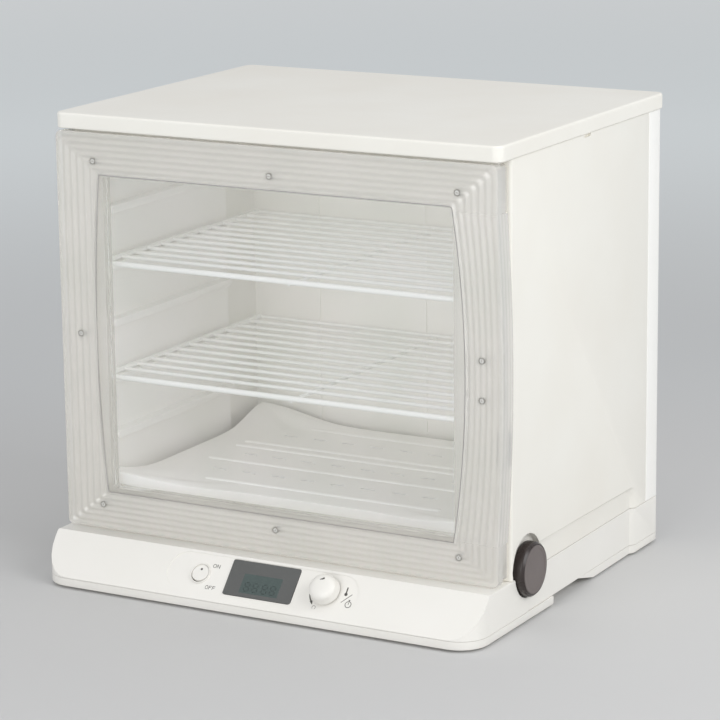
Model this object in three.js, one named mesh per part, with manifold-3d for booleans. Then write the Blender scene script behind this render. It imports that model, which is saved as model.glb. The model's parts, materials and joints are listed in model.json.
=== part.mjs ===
// A folding bread proofer for the kitchen counter: a heated base with a sloping control face, two side
// walls and a back wall that fold down, a lid that lies on top, and a clear door hung on its left edge.
// Millimetres, +Z up, the front looks along -Y, and the origin lies on the counter under the middle.

import * as THREE from 'three';
import { mergeVertices } from 'three/addons/utils/BufferGeometryUtils.js';
import Module from 'manifold-3d';

const wasm = await Module();
wasm.setup();

// Fits shared by all pieces
const fitGap = 0.3;                 // between two mouldings that meet
const runGap = 0.5;                 // round a piece that turns or slides
const overrun = 2;                  // how far a cutter reaches past what it cuts
const wall = 2.5;                   // moulded wall
const softEdge = 1.2;               // small rounding of moulded edges

// Cabinet
const bodyWidth = 405;              // across the outer faces of the side walls
const overallDepth = 351;           // from the foot of the control face to the rear edge of the lid
const lidFrontInset = 44;           // lid's front edge behind the foot of the control face
const lidSideOverhang = 1.5;        // lid past the outer face of each side wall
const lidRearOverhang = 2.5;        // lid past the rear wall
const lidFrontOverhang = 21.5;      // lid past the front edges of the side walls
const lidThickness = 13;
const lidUnderZ = 378;
const lidCornerRadius = 8;
const lidTopRound = 2;
const lidLinerDrop = 7;             // the inner skin hangs down between the walls
const lidLinerSeat = 2.5;

// Base
const footHeight = 2;
const footRadius = 9;
const footSeatDepth = 1.5;          // how far a foot is let into the tray
const footSideInset = 42.5;
const footFrontInset = 40.5;
const footRearInset = 28;
const trayHeight = 7;
const baseTopZ = 41.6;
const baseCornerRadius = 24;        // front corners in plan
const rearCornerRadius = 6;         // rear corners in plan
const baseSideWall = 7;
const slopeFootZ = 10;
const slopeAngle = THREE.MathUtils.degToRad(48.2);

// Heater well in the deck of the base
const basinSideInset = 35;          // from the inner face of each side wall
const basinFrontInset = 32;         // from the front edges of the side walls
const basinRearInset = 38;          // from the rear face
const basinDepth = 17.6;            // from the deck to the floor of the well
const basinCornerRadius = 14;
const collarThickness = 3;
const collarHeight = 20.4;
const wellFlange = 6;               // how far the well's flange reaches over the deck
const wellFlangeThickness = 2;
const coverPostRadius = 5;
const coverPostSpread = 35;         // from the middle to each post along a side

// Sides of the base and of the side walls
const recessFrontDepth = 0.8;       // at the knob's axis
const recessRearDepth = 3.5;
const recessRearInset = 48;         // rear edge at the outer face, from the rear face
const recessRearSlope = 5;          // how far the rear edge leans in over the depth
const recessRise = 20.4;            // top edge at the outer face, above the deck
const recessTopSlope = 3.5;
const recessCornerRadius = 9;
const fingerFrontInset = 141;       // finger cut-out under each side, behind the control face's foot
const fingerRoofLength = 43.5;
const fingerLength = 80.5;
const fingerDepth = 22;
const fingerRimWidth = 2.5;         // outer strip that is cut to the full height
const fingerRimRadius = 4;

// Lock knobs
const knobFrontInset = 29.5;        // axis behind the front edges of the side walls
const knobRise = 3.4;               // axis above the deck
const knobBackRadius = 22.4;
const knobFaceRadius = 20.3;
const knobThickness = 10;
const knobStandoff = 1.5;           // from the pocket floor to the back of the knob
const pocketRadius = 23.6;
const pocketDepth = 5;
const hoodRadius = 25.5;            // wider part of the pocket in the side wall
const hoodLead = 2.2;               // its middle ahead of the knob's axis
const hoodRise = 3.6;               // and above it
const camRadius = 12.5;
const camHalfWidth = 6;
const camThickness = 5.5;
const camRoomRadius = 14;
const lockShaftRadius = 5;

// Side walls
const sideThickness = 17.5;         // both skins together
const sideShellThickness = 8.5;
const sideCoreEdge = 12;            // solid border round the hollow of the outer skin
const linerRearInset = 43.3;        // rear edge of the liner, from the seam of the back wall
const seamGap = 0.4;                // between the base and the walls
const notchWidth = 12;              // small notch under the lid
const notchHeight = 2.5;
const notchFrontInset = 136;
const railCount = 5;
const railLowestRise = 73.8;        // top of the lowest rail above the deck
const railHighestDrop = 69.6;       // top of the highest rail below the lid
const railReach = 9;                // from the liner towards the middle
const railHeight = 8;
const railFrontInset = 18.5;
const railRearInset = 5;
const railSoftness = 2.5;

// Back wall
const backSeamInset = 26.2;         // seam of the side walls, from the rear face
const backThickness = 14.5;
const backRecessWidth = 5;          // inner face beside the back wall, past the liners
const grooveWidth = 3;
const grooveDepth = 1;
const groovePitch = 108;
const grooveMiddleX = -13;

// Fold pins of the walls
const foldPinRadius = 2;
const foldPinRise = 6;              // above the deck
const foldPinInset = 4.5;           // inside the liner's skin
const lugThickness = 6;
const lugLength = 14;
const lugFrontInset = 70;
const lugRearInset = 23.5;
const foldPinLead = 8;              // pin's front end ahead of the first lug
const backPinInset = 35;
const backLugInset = 30;

// Door
const doorProud = 2.5;              // door face ahead of the lid's front edge
const doorSideInset = 0.5;          // inside the outer face of the side wall
const doorBottomGap = 0.7;          // above the deck
const doorTopGap = 1.5;             // under the lid
const doorOuterDepth = 9.5;
const sealThickness = 2;
const windowSideInset = 39.5;
const windowBottomInset = 31.7;
const windowTopInset = 34.5;
const windowArchRight = 10.5;       // bulge of the window's right edge
const windowArchLeft = 6.5;
const doorCornerRadius = 5;
const windowCornerRadius = 1.1;
const windowSoftCornerRadius = 3;
const gripBottomInset = 2;          // grip zone inside the window's height
const gripTopInset = 4;
const gripBulge = 4.8;              // bulge of the door's right edge
const gripProud = 0.7;              // the grip zone stands ahead of the corner blocks
const gripStep = 0.4;               // half the width of the step line beside the zone
const gripSkirtDepth = 18.5;        // the flange is deeper along the grip
const gripLevelCount = 8;
const skirtWall = 2.3;
const skirtLip = 0.5;
const ribCount = 6;
const ribHeight = 1.1;
const ribSteps = 3;                 // rings for each rib
const rimWidth = 3;                 // flat rim outside the first rib
const paneSetBack = 2.5;            // pane behind the rim
const paneThickness = 2.4;
const hingeInset = 8;               // pin from the door's left edge
const hingePinRadius = 2.5;
const hingePinReach = 14;           // into the door at top and bottom
const hingePinSeat = 4;             // into the lid and the base
const hingeBossRadius = 6;
const innerInset = 2;               // the inner moulding inside the outer one
const jambInset = 2.5;              // inner window edge inside the outer one
const innerPaneThickness = 2;
const sealOuterInset = 10;
const sealWidth = 6;

// Door screws and catch
const doorScrewHeadRadius = 3;
const doorScrewHeadHeight = 2;
const doorScrewShankRadius = 1.4;
const doorScrewBite = 5;            // into the outer moulding
const screwRowOffset = 4.5;         // end screws of the rows past the window's sides
const screwRowInset = 11;           // from the window's edge to the top and bottom rows
const screwLeftInset = 18.7;
const screwRightInset = 13.7;
const screwRightSpread = 15.8;
const strikeInset = 6.5;
const strikeWidth = 6;
const strikeHeight = 26;
const strikeThickness = 3.9;
const magnetLength = 8;
const catchRise = 108.4;            // above the deck

// Shelves
const shelfSideGap = 2.5;
const shelfFrontInset = 7.5;
const shelfRearGap = 9.7;
const shelfBarRadius = 2.5;
const shelfBarSides = 8;
const shelfSideRadius = 2.2;
const shelfWireRadius = 1.5;
const shelfWireCount = 12;
const shelfFirstWireInset = 28;     // first cross wire behind the front bar
const shelfSupportDrop = 2.4;
const shelfCornerRadius = 14;
const shelfCornerSteps = 6;
const shelfUpperRail = 3;
const shelfLowerRail = 1;

// Floor cover
const coverRise = 33.4;             // top above the deck
const coverPlate = 2.5;
const coverSkirt = 9.5;
const coverSideGap = 4;
const coverFrontInset = 1.5;
const coverRearGap = 6.5;
const coverFrontScoop = 25;
const coverSideScoop = 5.5;
const coverRearScoop = 9;
const coverCornerRise = 11;
const coverRimWall = 2;
const coverRidgeHeight = 1.2;
const coverRidgeWidth = 7;
const coverRidgeShares = [-0.6, -0.16, 0.19, 0.305, 0.76];
const ridgeReachShare = 0.8;
const endRidgeReachShare = 0.62;
const endRidgeShare = 0.5;          // ridges further out than this are the short ones
const slotRowShares = [-0.38, 0.015, 0.54];
const slotLength = 14;
const slotWidth = 2.6;
const slotPitch = 29;
const slotsPerRow = 9;

// Control face, in its own frame: x to the right, y up the slope, z out of it
const panelRise = 23.2;             // its middle, up the slope from the foot
const panelX = 3;
const panelRecessHalfLength = 89;
const panelRecessHalfHeight = 17;
const panelRecessDepth = 0.5;
const displayWidth = 63;
const displayHeight = 31.2;
const displayY = 0.6;
const displayThickness = 1.2;
const displayLedge = 3;
const displayCornerRadius = 2.5;
const lcdWidth = 44;
const lcdHeight = 20;
const lcdY = -1.5;
const boardDepth = 7.3;             // from the face to the board
const boardThickness = 1.6;
const boardHalfLength = 84;
const boardLowY = -11;
const boardHighY = 16;
const boardPostRadius = 3;
const switchX = -54.3;
const switchY = -0.8;
const switchRadius = 8.75;
const switchTubeRadius = 7.8;
const switchBoreRadius = 6.6;
const switchRim = 1.5;
const rockerRadius = 6;
const rockerDepth = 2.5;            // pivot below the face
const rockerTilt = THREE.MathUtils.degToRad(7);
const dialX = 62.7;
const dialY = 0.8;
const dialRadius = 12.5;
const dialHeight = 11;
const dialLift = 1.6;
const dialWall = 2;
const dialRoof = 2.4;
const dialBoreStep = 0.4;           // end of the bore below the roof
const dialCrownShare = 0.45;        // of the height
const dialShoulderShare = 0.93;     // of the radius
const dialDomeShare = 0.42;         // of the radius
const encoderSize = 12;
const encoderBushRadius = 4.2;
const dialShaftRadius = 3;
const dialShaftTop = 8.3;

// Heater and water
const elementRadius = 3.3;
const elementSideInset = 80;        // from the plate's edge
const elementFrontInset = 33;
const elementRearInset = 30;
const elementSides = 6;
const elementBendSteps = 8;
const plateThickness = 1.5;
const plateSideInset = 15;
const plateFrontInset = 14;
const plateRearInset = 35;
const platePostRadius = 4;
const dishSideInset = 60;
const dishFrontInset = 24;
const dishRearInset = 30;
const dishHeight = 20;
const dishWall = 1.5;
const dishCornerRadius = 16;
const sensorRadius = 2.5;
const sensorTipShare = 0.7;
const sensorHeight = 24;
const sensorSideInset = 28;
const sensorRearInset = 17;
const fuseLength = 14;
const fuseRadius = 2.8;
const fuseLeadShare = 0.35;
const fuseOffset = 45;              // beside the element

// Tray screws, lead inlet and terminals
const trayBossRadius = 4.5;
const trayScrewSideInset = 30.5;
const trayScrewFrontInset = 55.5;
const trayScrewRearInset = 21;
const trayScrewHeadRadius = 3.4;
const trayScrewHeadHeight = 2;
const trayScrewRadius = 1.5;
const trayScrewLength = 17;
const inletSideInset = 82.5;
const inletRise = 17;               // above the tray
const inletRadius = 6.5;
const inletFlangeRadius = 9;
const inletFlange = 2;
const inletBore = 3.6;
const terminalLength = 36;
const terminalDepth = 18;
const terminalHeight = 11;
const terminalStepShare = 0.55;
const terminalRidgeShares = [0.3, 0.7];
const terminalBoreShares = [0.2, 0.5, 0.8];

// Places that follow from the sizes above, across
const bodyHalf = bodyWidth / 2;
const lidHalfWidth = bodyHalf + lidSideOverhang;
const shellInnerX = bodyHalf - sideShellThickness;
const linerOuterX = shellInnerX - fitGap;
const sideInnerX = bodyHalf - sideThickness;
const backRecessX = sideInnerX + backRecessWidth;
const foldPinX = sideInnerX + foldPinInset;
const backPinHalfLength = sideInnerX - backPinInset;
const lugPitchX = backPinHalfLength - backLugInset;
const basinHalfWidth = sideInnerX - basinSideInset;
const plateHalfWidth = basinHalfWidth - plateSideInset;
const dishHalfWidth = plateHalfWidth - dishSideInset;
const elementHalfSpan = plateHalfWidth - elementSideInset;
const fuseX = elementHalfSpan + fuseOffset;
const sensorX = sensorSideInset - basinHalfWidth;
const coverHalfWidth = sideInnerX - coverSideGap;
const shelfHalfWidth = sideInnerX - shelfSideGap;
const footX = bodyHalf - footSideInset;
const trayScrewX = bodyHalf - trayScrewSideInset;
const inletX = inletSideInset - bodyHalf;
const pocketFloorX = bodyHalf - pocketDepth;
const camInnerX = shellInnerX - camThickness;
const doorHalfWidth = bodyHalf - doorSideInset;
const windowHalfWidth = doorHalfWidth - windowSideInset;
const hingeX = hingeInset - doorHalfWidth;
const strikeX = doorHalfWidth - strikeInset;
const screwRowX = windowHalfWidth + screwRowOffset;
const screwLeftX = screwLeftInset - doorHalfWidth;
const screwRightX = doorHalfWidth - screwRightInset;

// From front to rear
const lidRearY = overallDepth / 2;
const baseFrontY = -lidRearY;
const bodyRearY = lidRearY - lidRearOverhang;
const lidFrontY = baseFrontY + lidFrontInset;
const panelFrontY = lidFrontY + lidFrontOverhang;
const backSeamY = bodyRearY - backSeamInset;
const backInnerY = bodyRearY - backThickness;
const backPinY = (backInnerY + bodyRearY) / 2;
const linerRearY = backSeamY - linerRearInset;
const railFrontY = panelFrontY + railFrontInset;
const railRearY = linerRearY - railRearInset;
const recessRearY = bodyRearY - recessRearInset;
const notchY = panelFrontY + notchFrontInset;
const lugFirstY = panelFrontY + lugFrontInset;
const lugPitchY = (linerRearY - lugRearInset - lugFirstY) / 2;
const foldPinFrontY = lugFirstY - foldPinLead;
const foldPinRearY = linerRearY - overrun;
const knobY = panelFrontY + knobFrontInset;
const footFrontY = baseFrontY + footFrontInset;
const footRearY = bodyRearY - footRearInset;
const trayScrewFrontY = baseFrontY + trayScrewFrontInset;
const trayScrewRearY = bodyRearY - trayScrewRearInset;
const fingerFrontY = baseFrontY + fingerFrontInset;
const fingerRampY = fingerFrontY + fingerRoofLength;
const fingerRearY = fingerFrontY + fingerLength;
const basinFrontY = panelFrontY + basinFrontInset;
const basinRearY = bodyRearY - basinRearInset;
const elementFrontY = basinFrontY + elementFrontInset;
const elementRearY = basinRearY - elementRearInset;
const plateFrontY = basinFrontY + plateFrontInset;
const plateRearY = basinRearY - plateRearInset;
const dishFrontY = plateFrontY + dishFrontInset;
const dishRearY = plateRearY - dishRearInset;
const sensorY = basinRearY - sensorRearInset;
const coverFrontY = panelFrontY + coverFrontInset;
const coverRearY = backInnerY - coverRearGap;
const shelfFrontY = panelFrontY + shelfFrontInset;
const shelfRearY = backInnerY - shelfRearGap;
const shelfWirePitch = (shelfRearY - shelfFrontY - shelfFirstWireInset) / (shelfWireCount - 1);
const doorFaceY = lidFrontY - doorProud;
const doorOuterBackY = doorFaceY + doorOuterDepth;
const doorInnerFrontY = doorOuterBackY + fitGap;
const sealBackY = panelFrontY - fitGap;
const doorInnerBackY = sealBackY - sealThickness;
const hingeY = doorInnerBackY - hingeInset;

// Upwards
const trayTopZ = footHeight + trayHeight;
const inletZ = trayTopZ + inletRise;
const wallBottomZ = baseTopZ + seamGap;
const wallTopZ = lidUnderZ - fitGap;
const lidTopZ = lidUnderZ + lidThickness;
const knobZ = baseTopZ + knobRise;
const recessTopZ = baseTopZ + recessRise;
const foldPinZ = baseTopZ + foldPinRise;
const basinFloorZ = baseTopZ - basinDepth;
const coverTopZ = baseTopZ + coverRise;
const coverUnderZ = coverTopZ - coverPlate;
const heaterPlateZ = basinFloorZ + fitGap + elementRadius * 2 + fitGap;
const dishBottomZ = heaterPlateZ + plateThickness + fitGap;
const railLowestTopZ = baseTopZ + railLowestRise;
const railPitch = (lidUnderZ - railHighestDrop - railLowestTopZ) / (railCount - 1);
const sideCoreBottomZ = knobZ + hoodRise + hoodRadius + wall;
const doorBottomZ = baseTopZ + doorBottomGap;
const doorTopZ = lidUnderZ - doorTopGap;
const windowBottomZ = doorBottomZ + windowBottomInset;
const windowTopZ = doorTopZ - windowTopInset;
const gripBottomZ = windowBottomZ + gripBottomInset;
const gripTopZ = windowTopZ - gripTopInset;
const sideScrewsZ = (windowBottomZ + windowTopZ) / 2;
const catchZ = baseTopZ + catchRise;
const slopeTopY = baseFrontY + (baseTopZ - slopeFootZ) / Math.tan(slopeAngle);

// Solids

// Six times the volume inside a closed mesh, negative where its faces point inwards.
function signedVolume(positions, faces) {
  const corner = (f) => new THREE.Vector3().fromArray(positions, faces[f] * 3);
  let volume = 0;
  for (let f = 0; f < faces.length; f += 3) {
    volume += corner(f).dot(corner(f + 1).cross(corner(f + 2)));
  }
  return volume;
}

// A watertight solid from a geometry, with shared corners merged and all faces turned outwards.
function solidOf(geometry) {
  const bare = geometry.clone();
  bare.deleteAttribute('normal');
  bare.deleteAttribute('uv');
  const merged = mergeVertices(bare);
  const vertProperties = new Float32Array(merged.attributes.position.array);
  const triVerts = new Uint32Array(merged.index.array);
  if (signedVolume(vertProperties, triVerts) < 0) triVerts.reverse();
  return new wasm.Manifold(new wasm.Mesh({ numProp: 3, vertProperties, triVerts }));
}

// The geometry of a solid, for a mesh.
function geometryOf(solid) {
  const mesh = solid.getMesh();
  const geometry = new THREE.BufferGeometry();
  geometry.setAttribute('position', new THREE.BufferAttribute(mesh.vertProperties, 3));
  geometry.setIndex(new THREE.BufferAttribute(mesh.triVerts, 1));
  geometry.computeVertexNormals();
  return geometry;
}

function join(first, ...rest) {
  return rest.reduce((sum, next) => sum.add(next), first);
}

function cut(first, ...tools) {
  return tools.reduce((rest, tool) => rest.subtract(tool), first);
}

// A box between two corners.
function block(x0, x1, y0, y1, z0, z1) {
  const geometry = new THREE.BoxGeometry(x1 - x0, y1 - y0, z1 - z0);
  geometry.translate((x0 + x1) / 2, (y0 + y1) / 2, (z0 + z1) / 2);
  return solidOf(geometry);
}

// A round bar along one axis, with its other two coordinates in x, y, z order.
function rod(axis, radius, from, to, a, b, sides = 14) {
  const geometry = new THREE.CylinderGeometry(radius, radius, to - from, sides);
  const middle = (from + to) / 2;
  if (axis === 'x') {
    geometry.rotateZ(Math.PI / 2);
    geometry.translate(middle, a, b);
  } else if (axis === 'y') {
    geometry.translate(a, middle, b);
  } else {
    geometry.rotateX(Math.PI / 2);
    geometry.translate(a, b, middle);
  }
  return solidOf(geometry);
}

// A flat outline drawn out along one axis. Its points are (y, z), (x, z) or (x, y) for x, y and z.
function drawn(axis, outline, from, to) {
  const shape = new THREE.Shape(outline.map(([u, v]) => new THREE.Vector2(u, v)));
  const geometry = new THREE.ExtrudeGeometry(shape, { depth: to - from, bevelEnabled: false });
  const x = new THREE.Vector3(1, 0, 0);
  const y = new THREE.Vector3(0, 1, 0);
  const z = new THREE.Vector3(0, 0, 1);
  if (axis === 'x') {
    geometry.applyMatrix4(new THREE.Matrix4().makeBasis(y, z, x));
    geometry.translate(from, 0, 0);
  } else if (axis === 'y') {
    geometry.applyMatrix4(new THREE.Matrix4().makeBasis(x, z, y.negate()));
    geometry.translate(0, to, 0);
  } else {
    geometry.translate(0, 0, from);
  }
  return solidOf(geometry);
}

// A closed body through a stack of rings with equal point counts, capped from the middles of its ends.
function loft(rings) {
  const count = rings[0].length;
  const points = rings.flat();
  const middle = (ring) => ring.reduce((sum, p) => sum.add(p), new THREE.Vector3()).divideScalar(count);
  const start = points.push(middle(rings[0])) - 1;
  const end = points.push(middle(rings.at(-1))) - 1;
  const last = (rings.length - 1) * count;
  const faces = [];
  for (let i = 0; i < count; i++) {
    const j = (i + 1) % count;
    faces.push(start, j, i, end, last + i, last + j);
    for (let low = 0; low < last; low += count) {
      const high = low + count;
      faces.push(low + i, low + j, high + j, low + i, high + j, high + i);
    }
  }
  const geometry = new THREE.BufferGeometry();
  const positions = points.flatMap((p) => [p.x, p.y, p.z]);
  geometry.setAttribute('position', new THREE.Float32BufferAttribute(positions, 3));
  geometry.setIndex(faces);
  return solidOf(geometry);
}

// A rounded rectangle as [u, v] points, counterclockwise from its low corner, one radius a corner.
function roundedOutline(u0, u1, v0, v1, radii, steps = 4) {
  const corners = [
    [u0 + radii[0], v0 + radii[0]],
    [u1 - radii[1], v0 + radii[1]],
    [u1 - radii[2], v1 - radii[2]],
    [u0 + radii[3], v1 - radii[3]],
  ];
  return corners.flatMap(([u, v], corner) => Array.from({ length: steps + 1 }, (_, k) => {
    const angle = Math.PI * (1 + corner / 2 + k / steps / 2);
    return [u + radii[corner] * Math.cos(angle), v + radii[corner] * Math.sin(angle)];
  }));
}

// An upright slab with rounded corners in plan and rounded upper and lower edges.
function slab(area, z0, z1, radii, topRound, bottomRound, steps = 3) {
  const ring = (inset, z) => roundedOutline(
    area.x0 + inset, area.x1 - inset, area.y0 + inset, area.y1 - inset,
    radii.map((radius) => radius - inset), steps,
  ).map(([x, y]) => new THREE.Vector3(x, y, z));
  const turns = [0, 0.5, 1].map((share) => share * Math.PI / 2);
  const bottom = bottomRound > 0
    ? turns.map((a) => ring(bottomRound * (1 - Math.sin(a)), z0 + bottomRound * (1 - Math.cos(a))))
    : [ring(0, z0)];
  const top = topRound > 0
    ? turns.map((a) => ring(topRound * (1 - Math.cos(a)), z1 - topRound * (1 - Math.sin(a))))
    : [ring(0, z1)];
  return loft([...bottom, ...top]);
}

// A turned body about the z axis from (radius, z) points that start and end on the axis or close up.
function turned(profile, sides = 24) {
  const geometry = new THREE.LatheGeometry(profile.map(([r, z]) => new THREE.Vector2(r, z)), sides);
  geometry.rotateX(Math.PI / 2);
  return solidOf(geometry);
}

// The same geometry on the other side of the middle plane.
function mirrored(geometry) {
  const other = geometry.clone();
  other.scale(-1, 1, 1);
  other.setIndex(Array.from(other.index.array).reverse());
  other.computeVertexNormals();
  return other;
}

function moved(geometry, matrix) {
  const other = geometry.clone();
  other.applyMatrix4(matrix);
  return other;
}

// Scene graph
const proofer = new THREE.Group();
const door = new THREE.Group();
const controlPanel = new THREE.Group();
controlPanel.position.set(0, baseFrontY + panelRise * Math.cos(slopeAngle),
  slopeFootZ + panelRise * Math.sin(slopeAngle));
controlPanel.rotation.x = slopeAngle;
controlPanel.updateMatrix();
proofer.add(door, controlPanel);

function place(name, shape, finish, parent = proofer) {
  const geometry = shape.isBufferGeometry ? shape : geometryOf(shape);
  const mesh = new THREE.Mesh(geometry, new THREE.MeshStandardMaterial(finish));
  mesh.name = name;
  parent.add(mesh);
  return mesh;
}

const whitePlastic = { color: 0xefeeea, roughness: 0.45, metalness: 0 };
const creamPlastic = { color: 0xe9e7e1, roughness: 0.5, metalness: 0 };
const clearPlastic = { color: 0xf2f3f2, roughness: 0.08, metalness: 0, transparent: true, opacity: 0.35 };
const darkPlastic = { color: 0x6b6360, roughness: 0.5, metalness: 0 };
const glossDark = { color: 0x6b6b69, roughness: 0.2, metalness: 0 };
const steel = { color: 0xb9bbbd, roughness: 0.3, metalness: 1 };
const aluminium = { color: 0xc8cacc, roughness: 0.4, metalness: 1 };
const rubber = { color: 0xd8d6d2, roughness: 0.8, metalness: 0 };

// Cutters shared by the base and the side walls, on the right side

// The shallow side recess, deeper towards the rear, with leaning top and rear edges.
function sideRecess(frontY = knobY) {
  const outline = (rear, top) => [
    [frontY, -overrun], [rear, -overrun], ...roundedOutline(
      frontY, rear, -overrun, top, Array(4).fill(recessCornerRadius), 3,
    ).slice(8, 12), [frontY, top],
  ];
  const floorX = (y) => bodyHalf - THREE.MathUtils.mapLinear(
    y, knobY, recessRearY, recessFrontDepth, recessRearDepth);
  const low = outline(recessRearY - recessRearSlope, recessTopZ - recessTopSlope);
  const high = outline(recessRearY, recessTopZ);
  return loft([
    low.map(([y, z]) => new THREE.Vector3(floorX(y), y, z)),
    high.map(([y, z]) => new THREE.Vector3(bodyHalf, y, z)),
    high.map(([y, z]) => new THREE.Vector3(bodyHalf + overrun, y, z)),
  ]);
}

// The knob pocket, the hole of the lock shaft and the chamber of its cam, half above the seam.
function lockCutters() {
  return [
    rod('x', pocketRadius, pocketFloorX, bodyHalf + overrun, knobY, knobZ, 24),
    rod('x', lockShaftRadius + fitGap, camInnerX, bodyHalf, knobY, knobZ),
    rod('x', camRoomRadius, camInnerX - runGap, shellInnerX + runGap, knobY, knobZ, 16),
  ];
}

// Base

const basinArea = {
  x0: -basinHalfWidth, x1: basinHalfWidth, y0: basinFrontY, y1: basinRearY,
};

function grown(area, by) {
  return { x0: area.x0 - by, x1: area.x1 + by, y0: area.y0 - by, y1: area.y1 + by };
}

const baseArea = { x0: -bodyHalf, x1: bodyHalf, y0: baseFrontY, y1: bodyRearY };
const basePlanRadii = [baseCornerRadius, baseCornerRadius, rearCornerRadius, rearCornerRadius];

// Everything above the sloping face, or above a face at some depth behind it.
function aboveSlope(depth) {
  const drop = depth / Math.cos(slopeAngle);
  const rise = (y) => slopeFootZ - drop + (y - baseFrontY) * Math.tan(slopeAngle);
  const low = baseFrontY - overrun;
  const high = slopeTopY + baseTopZ;
  return drawn('x', [[low, rise(low)], [high, rise(high)], [low, rise(high)]],
    -bodyHalf - overrun, bodyHalf + overrun);
}

// A hinge lug on the deck, bored for its fold pin, for a pin along x or along y.
function foldLug(axis, along, across) {
  const half = lugThickness / 2;
  const top = foldPinZ + half;
  const round = roundedOutline(across - half, across + half, baseTopZ - wall, top,
    [fitGap, fitGap, half - fitGap, half - fitGap], 1);
  return cut(
    drawn(axis, round, along - lugLength / 2, along + lugLength / 2),
    rod(axis, foldPinRadius + fitGap, along - lugLength, along + lugLength, across, foldPinZ, 8),
  );
}

const sideLugPlaces = [0, 1, 2].map((k) => lugFirstY + k * lugPitchY);
const backLugPlaces = [-1, 0, 1].map((k) => k * lugPitchX);
const trayScrewPlaces = [
  [-trayScrewX, trayScrewFrontY], [trayScrewX, trayScrewFrontY],
  [-trayScrewX, trayScrewRearY], [trayScrewX, trayScrewRearY],
];

// Posts in the well under the heater plate, and posts on its collar under the floor cover.
const platePostPlaces = [
  [-plateHalfWidth + platePostRadius, plateFrontY + platePostRadius],
  [plateHalfWidth - platePostRadius, plateFrontY + platePostRadius],
  [-plateHalfWidth + platePostRadius, plateRearY - platePostRadius],
  [plateHalfWidth - platePostRadius, plateRearY - platePostRadius],
];
const coverPostPlaces = [-1, 1].flatMap((side) => [-1, 1].map((end) => [
  side * (basinHalfWidth + collarThickness / 2),
  (coverFrontY + coverRearY) / 2 + end * coverPostSpread,
]));

function baseHousing() {
  const cavityRadii = [baseCornerRadius - wall, baseCornerRadius - wall, wall, wall];
  const cavityArea = {
    x0: -bodyHalf + baseSideWall, x1: bodyHalf - baseSideWall,
    y0: baseFrontY + wall, y1: bodyRearY - wall,
  };
  const holeGrowth = collarThickness + fitGap;
  let housing = cut(
    slab(baseArea, trayTopZ + fitGap, baseTopZ, basePlanRadii, softEdge, 0, 6),
    aboveSlope(0),
    cut(slab(cavityArea, trayTopZ - overrun, baseTopZ - wall, cavityRadii, 0, 0, 3), aboveSlope(wall)),
    slab(grown(basinArea, holeGrowth), baseTopZ - wall - overrun, baseTopZ + overrun,
      Array(4).fill(basinCornerRadius + holeGrowth), 0, 0),
  );
  const lugs = [
    ...sideLugPlaces.flatMap((y) => [foldLug('y', y, foldPinX), foldLug('y', y, -foldPinX)]),
    ...backLugPlaces.map((x) => foldLug('x', x, backPinY)),
  ];
  const trayBosses = trayScrewPlaces.map(([x, y]) => (
    rod('z', trayBossRadius, trayTopZ + fitGap, baseTopZ - wall / 2, x, y, 8)));
  const fingerRoofs = [-1, 1].map((side) => block(
    side > 0 ? bodyHalf - fingerDepth - wall : -bodyHalf + softEdge,
    side > 0 ? bodyHalf - softEdge : -bodyHalf + fingerDepth + wall,
    fingerFrontY - wall, fingerRearY + wall, trayTopZ + fitGap, trayTopZ + fitGap + wall,
  ));
  const hingeBoss = rod('z', hingeBossRadius, baseTopZ - wall - hingePinSeat * 2, baseTopZ - wall / 2,
    hingeX, hingeY, 12);
  const boardPosts = boardPostPlaces().map(([x, y]) => solidOf(moved(
    geometryOf(rod('z', boardPostRadius, fitGap - boardDepth, -wall / 2, x, y, 6)),
    controlPanel.matrix,
  )));
  housing = join(housing, ...lugs, ...trayBosses, ...fingerRoofs, hingeBoss, ...boardPosts);

  const right = [sideRecess(), ...lockCutters()];
  const left = right.map((tool) => solidOf(mirrored(geometryOf(tool))));
  housing = cut(housing, ...right, ...left);
  housing = cut(housing, ...trayScrewPlaces.map(([x, y]) => (
    rod('z', trayScrewRadius + fitGap, 0, footHeight + trayScrewLength + trayHeight, x, y, 8))));
  housing = cut(housing,
    rod('z', hingePinRadius + fitGap, baseTopZ - wall - hingePinSeat, baseTopZ + overrun, hingeX, hingeY),
    rod('y', inletRadius + fitGap, bodyRearY - wall - overrun, bodyRearY + overrun, inletX, inletZ),
    ...panelCutters());
  return housing;
}

// The heater well hangs in the deck by its flange and carries the posts of the heater and the cover.
function heaterWell() {
  const tub = slab(grown(basinArea, collarThickness), basinFloorZ - wall, baseTopZ + collarHeight,
    Array(4).fill(basinCornerRadius + collarThickness), 0, 0);
  const flange = slab(grown(basinArea, collarThickness + wellFlange), baseTopZ + fitGap,
    baseTopZ + fitGap + wellFlangeThickness,
    Array(4).fill(basinCornerRadius + collarThickness + wellFlange), 0, 0);
  const inside = slab(basinArea, basinFloorZ, coverTopZ, Array(4).fill(basinCornerRadius), 0, 0);
  const platePosts = platePostPlaces.map(([x, y]) => (
    rod('z', platePostRadius, basinFloorZ - wall / 2, heaterPlateZ - fitGap, x, y, 8)));
  const coverPosts = coverPostPlaces.map(([x, y]) => (
    rod('z', coverPostRadius, baseTopZ + fitGap, coverUnderZ - fitGap, x, y, 10)));
  return join(cut(join(tub, flange), inside), ...platePosts, ...coverPosts);
}

// Control face

function boardPostPlaces() {
  return [-1, 1].flatMap((side) => [boardLowY, boardHighY].map((y) => [
    panelX + side * (boardHalfLength - boardPostRadius),
    y - Math.sign(y) * boardPostRadius,
  ]));
}

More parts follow.
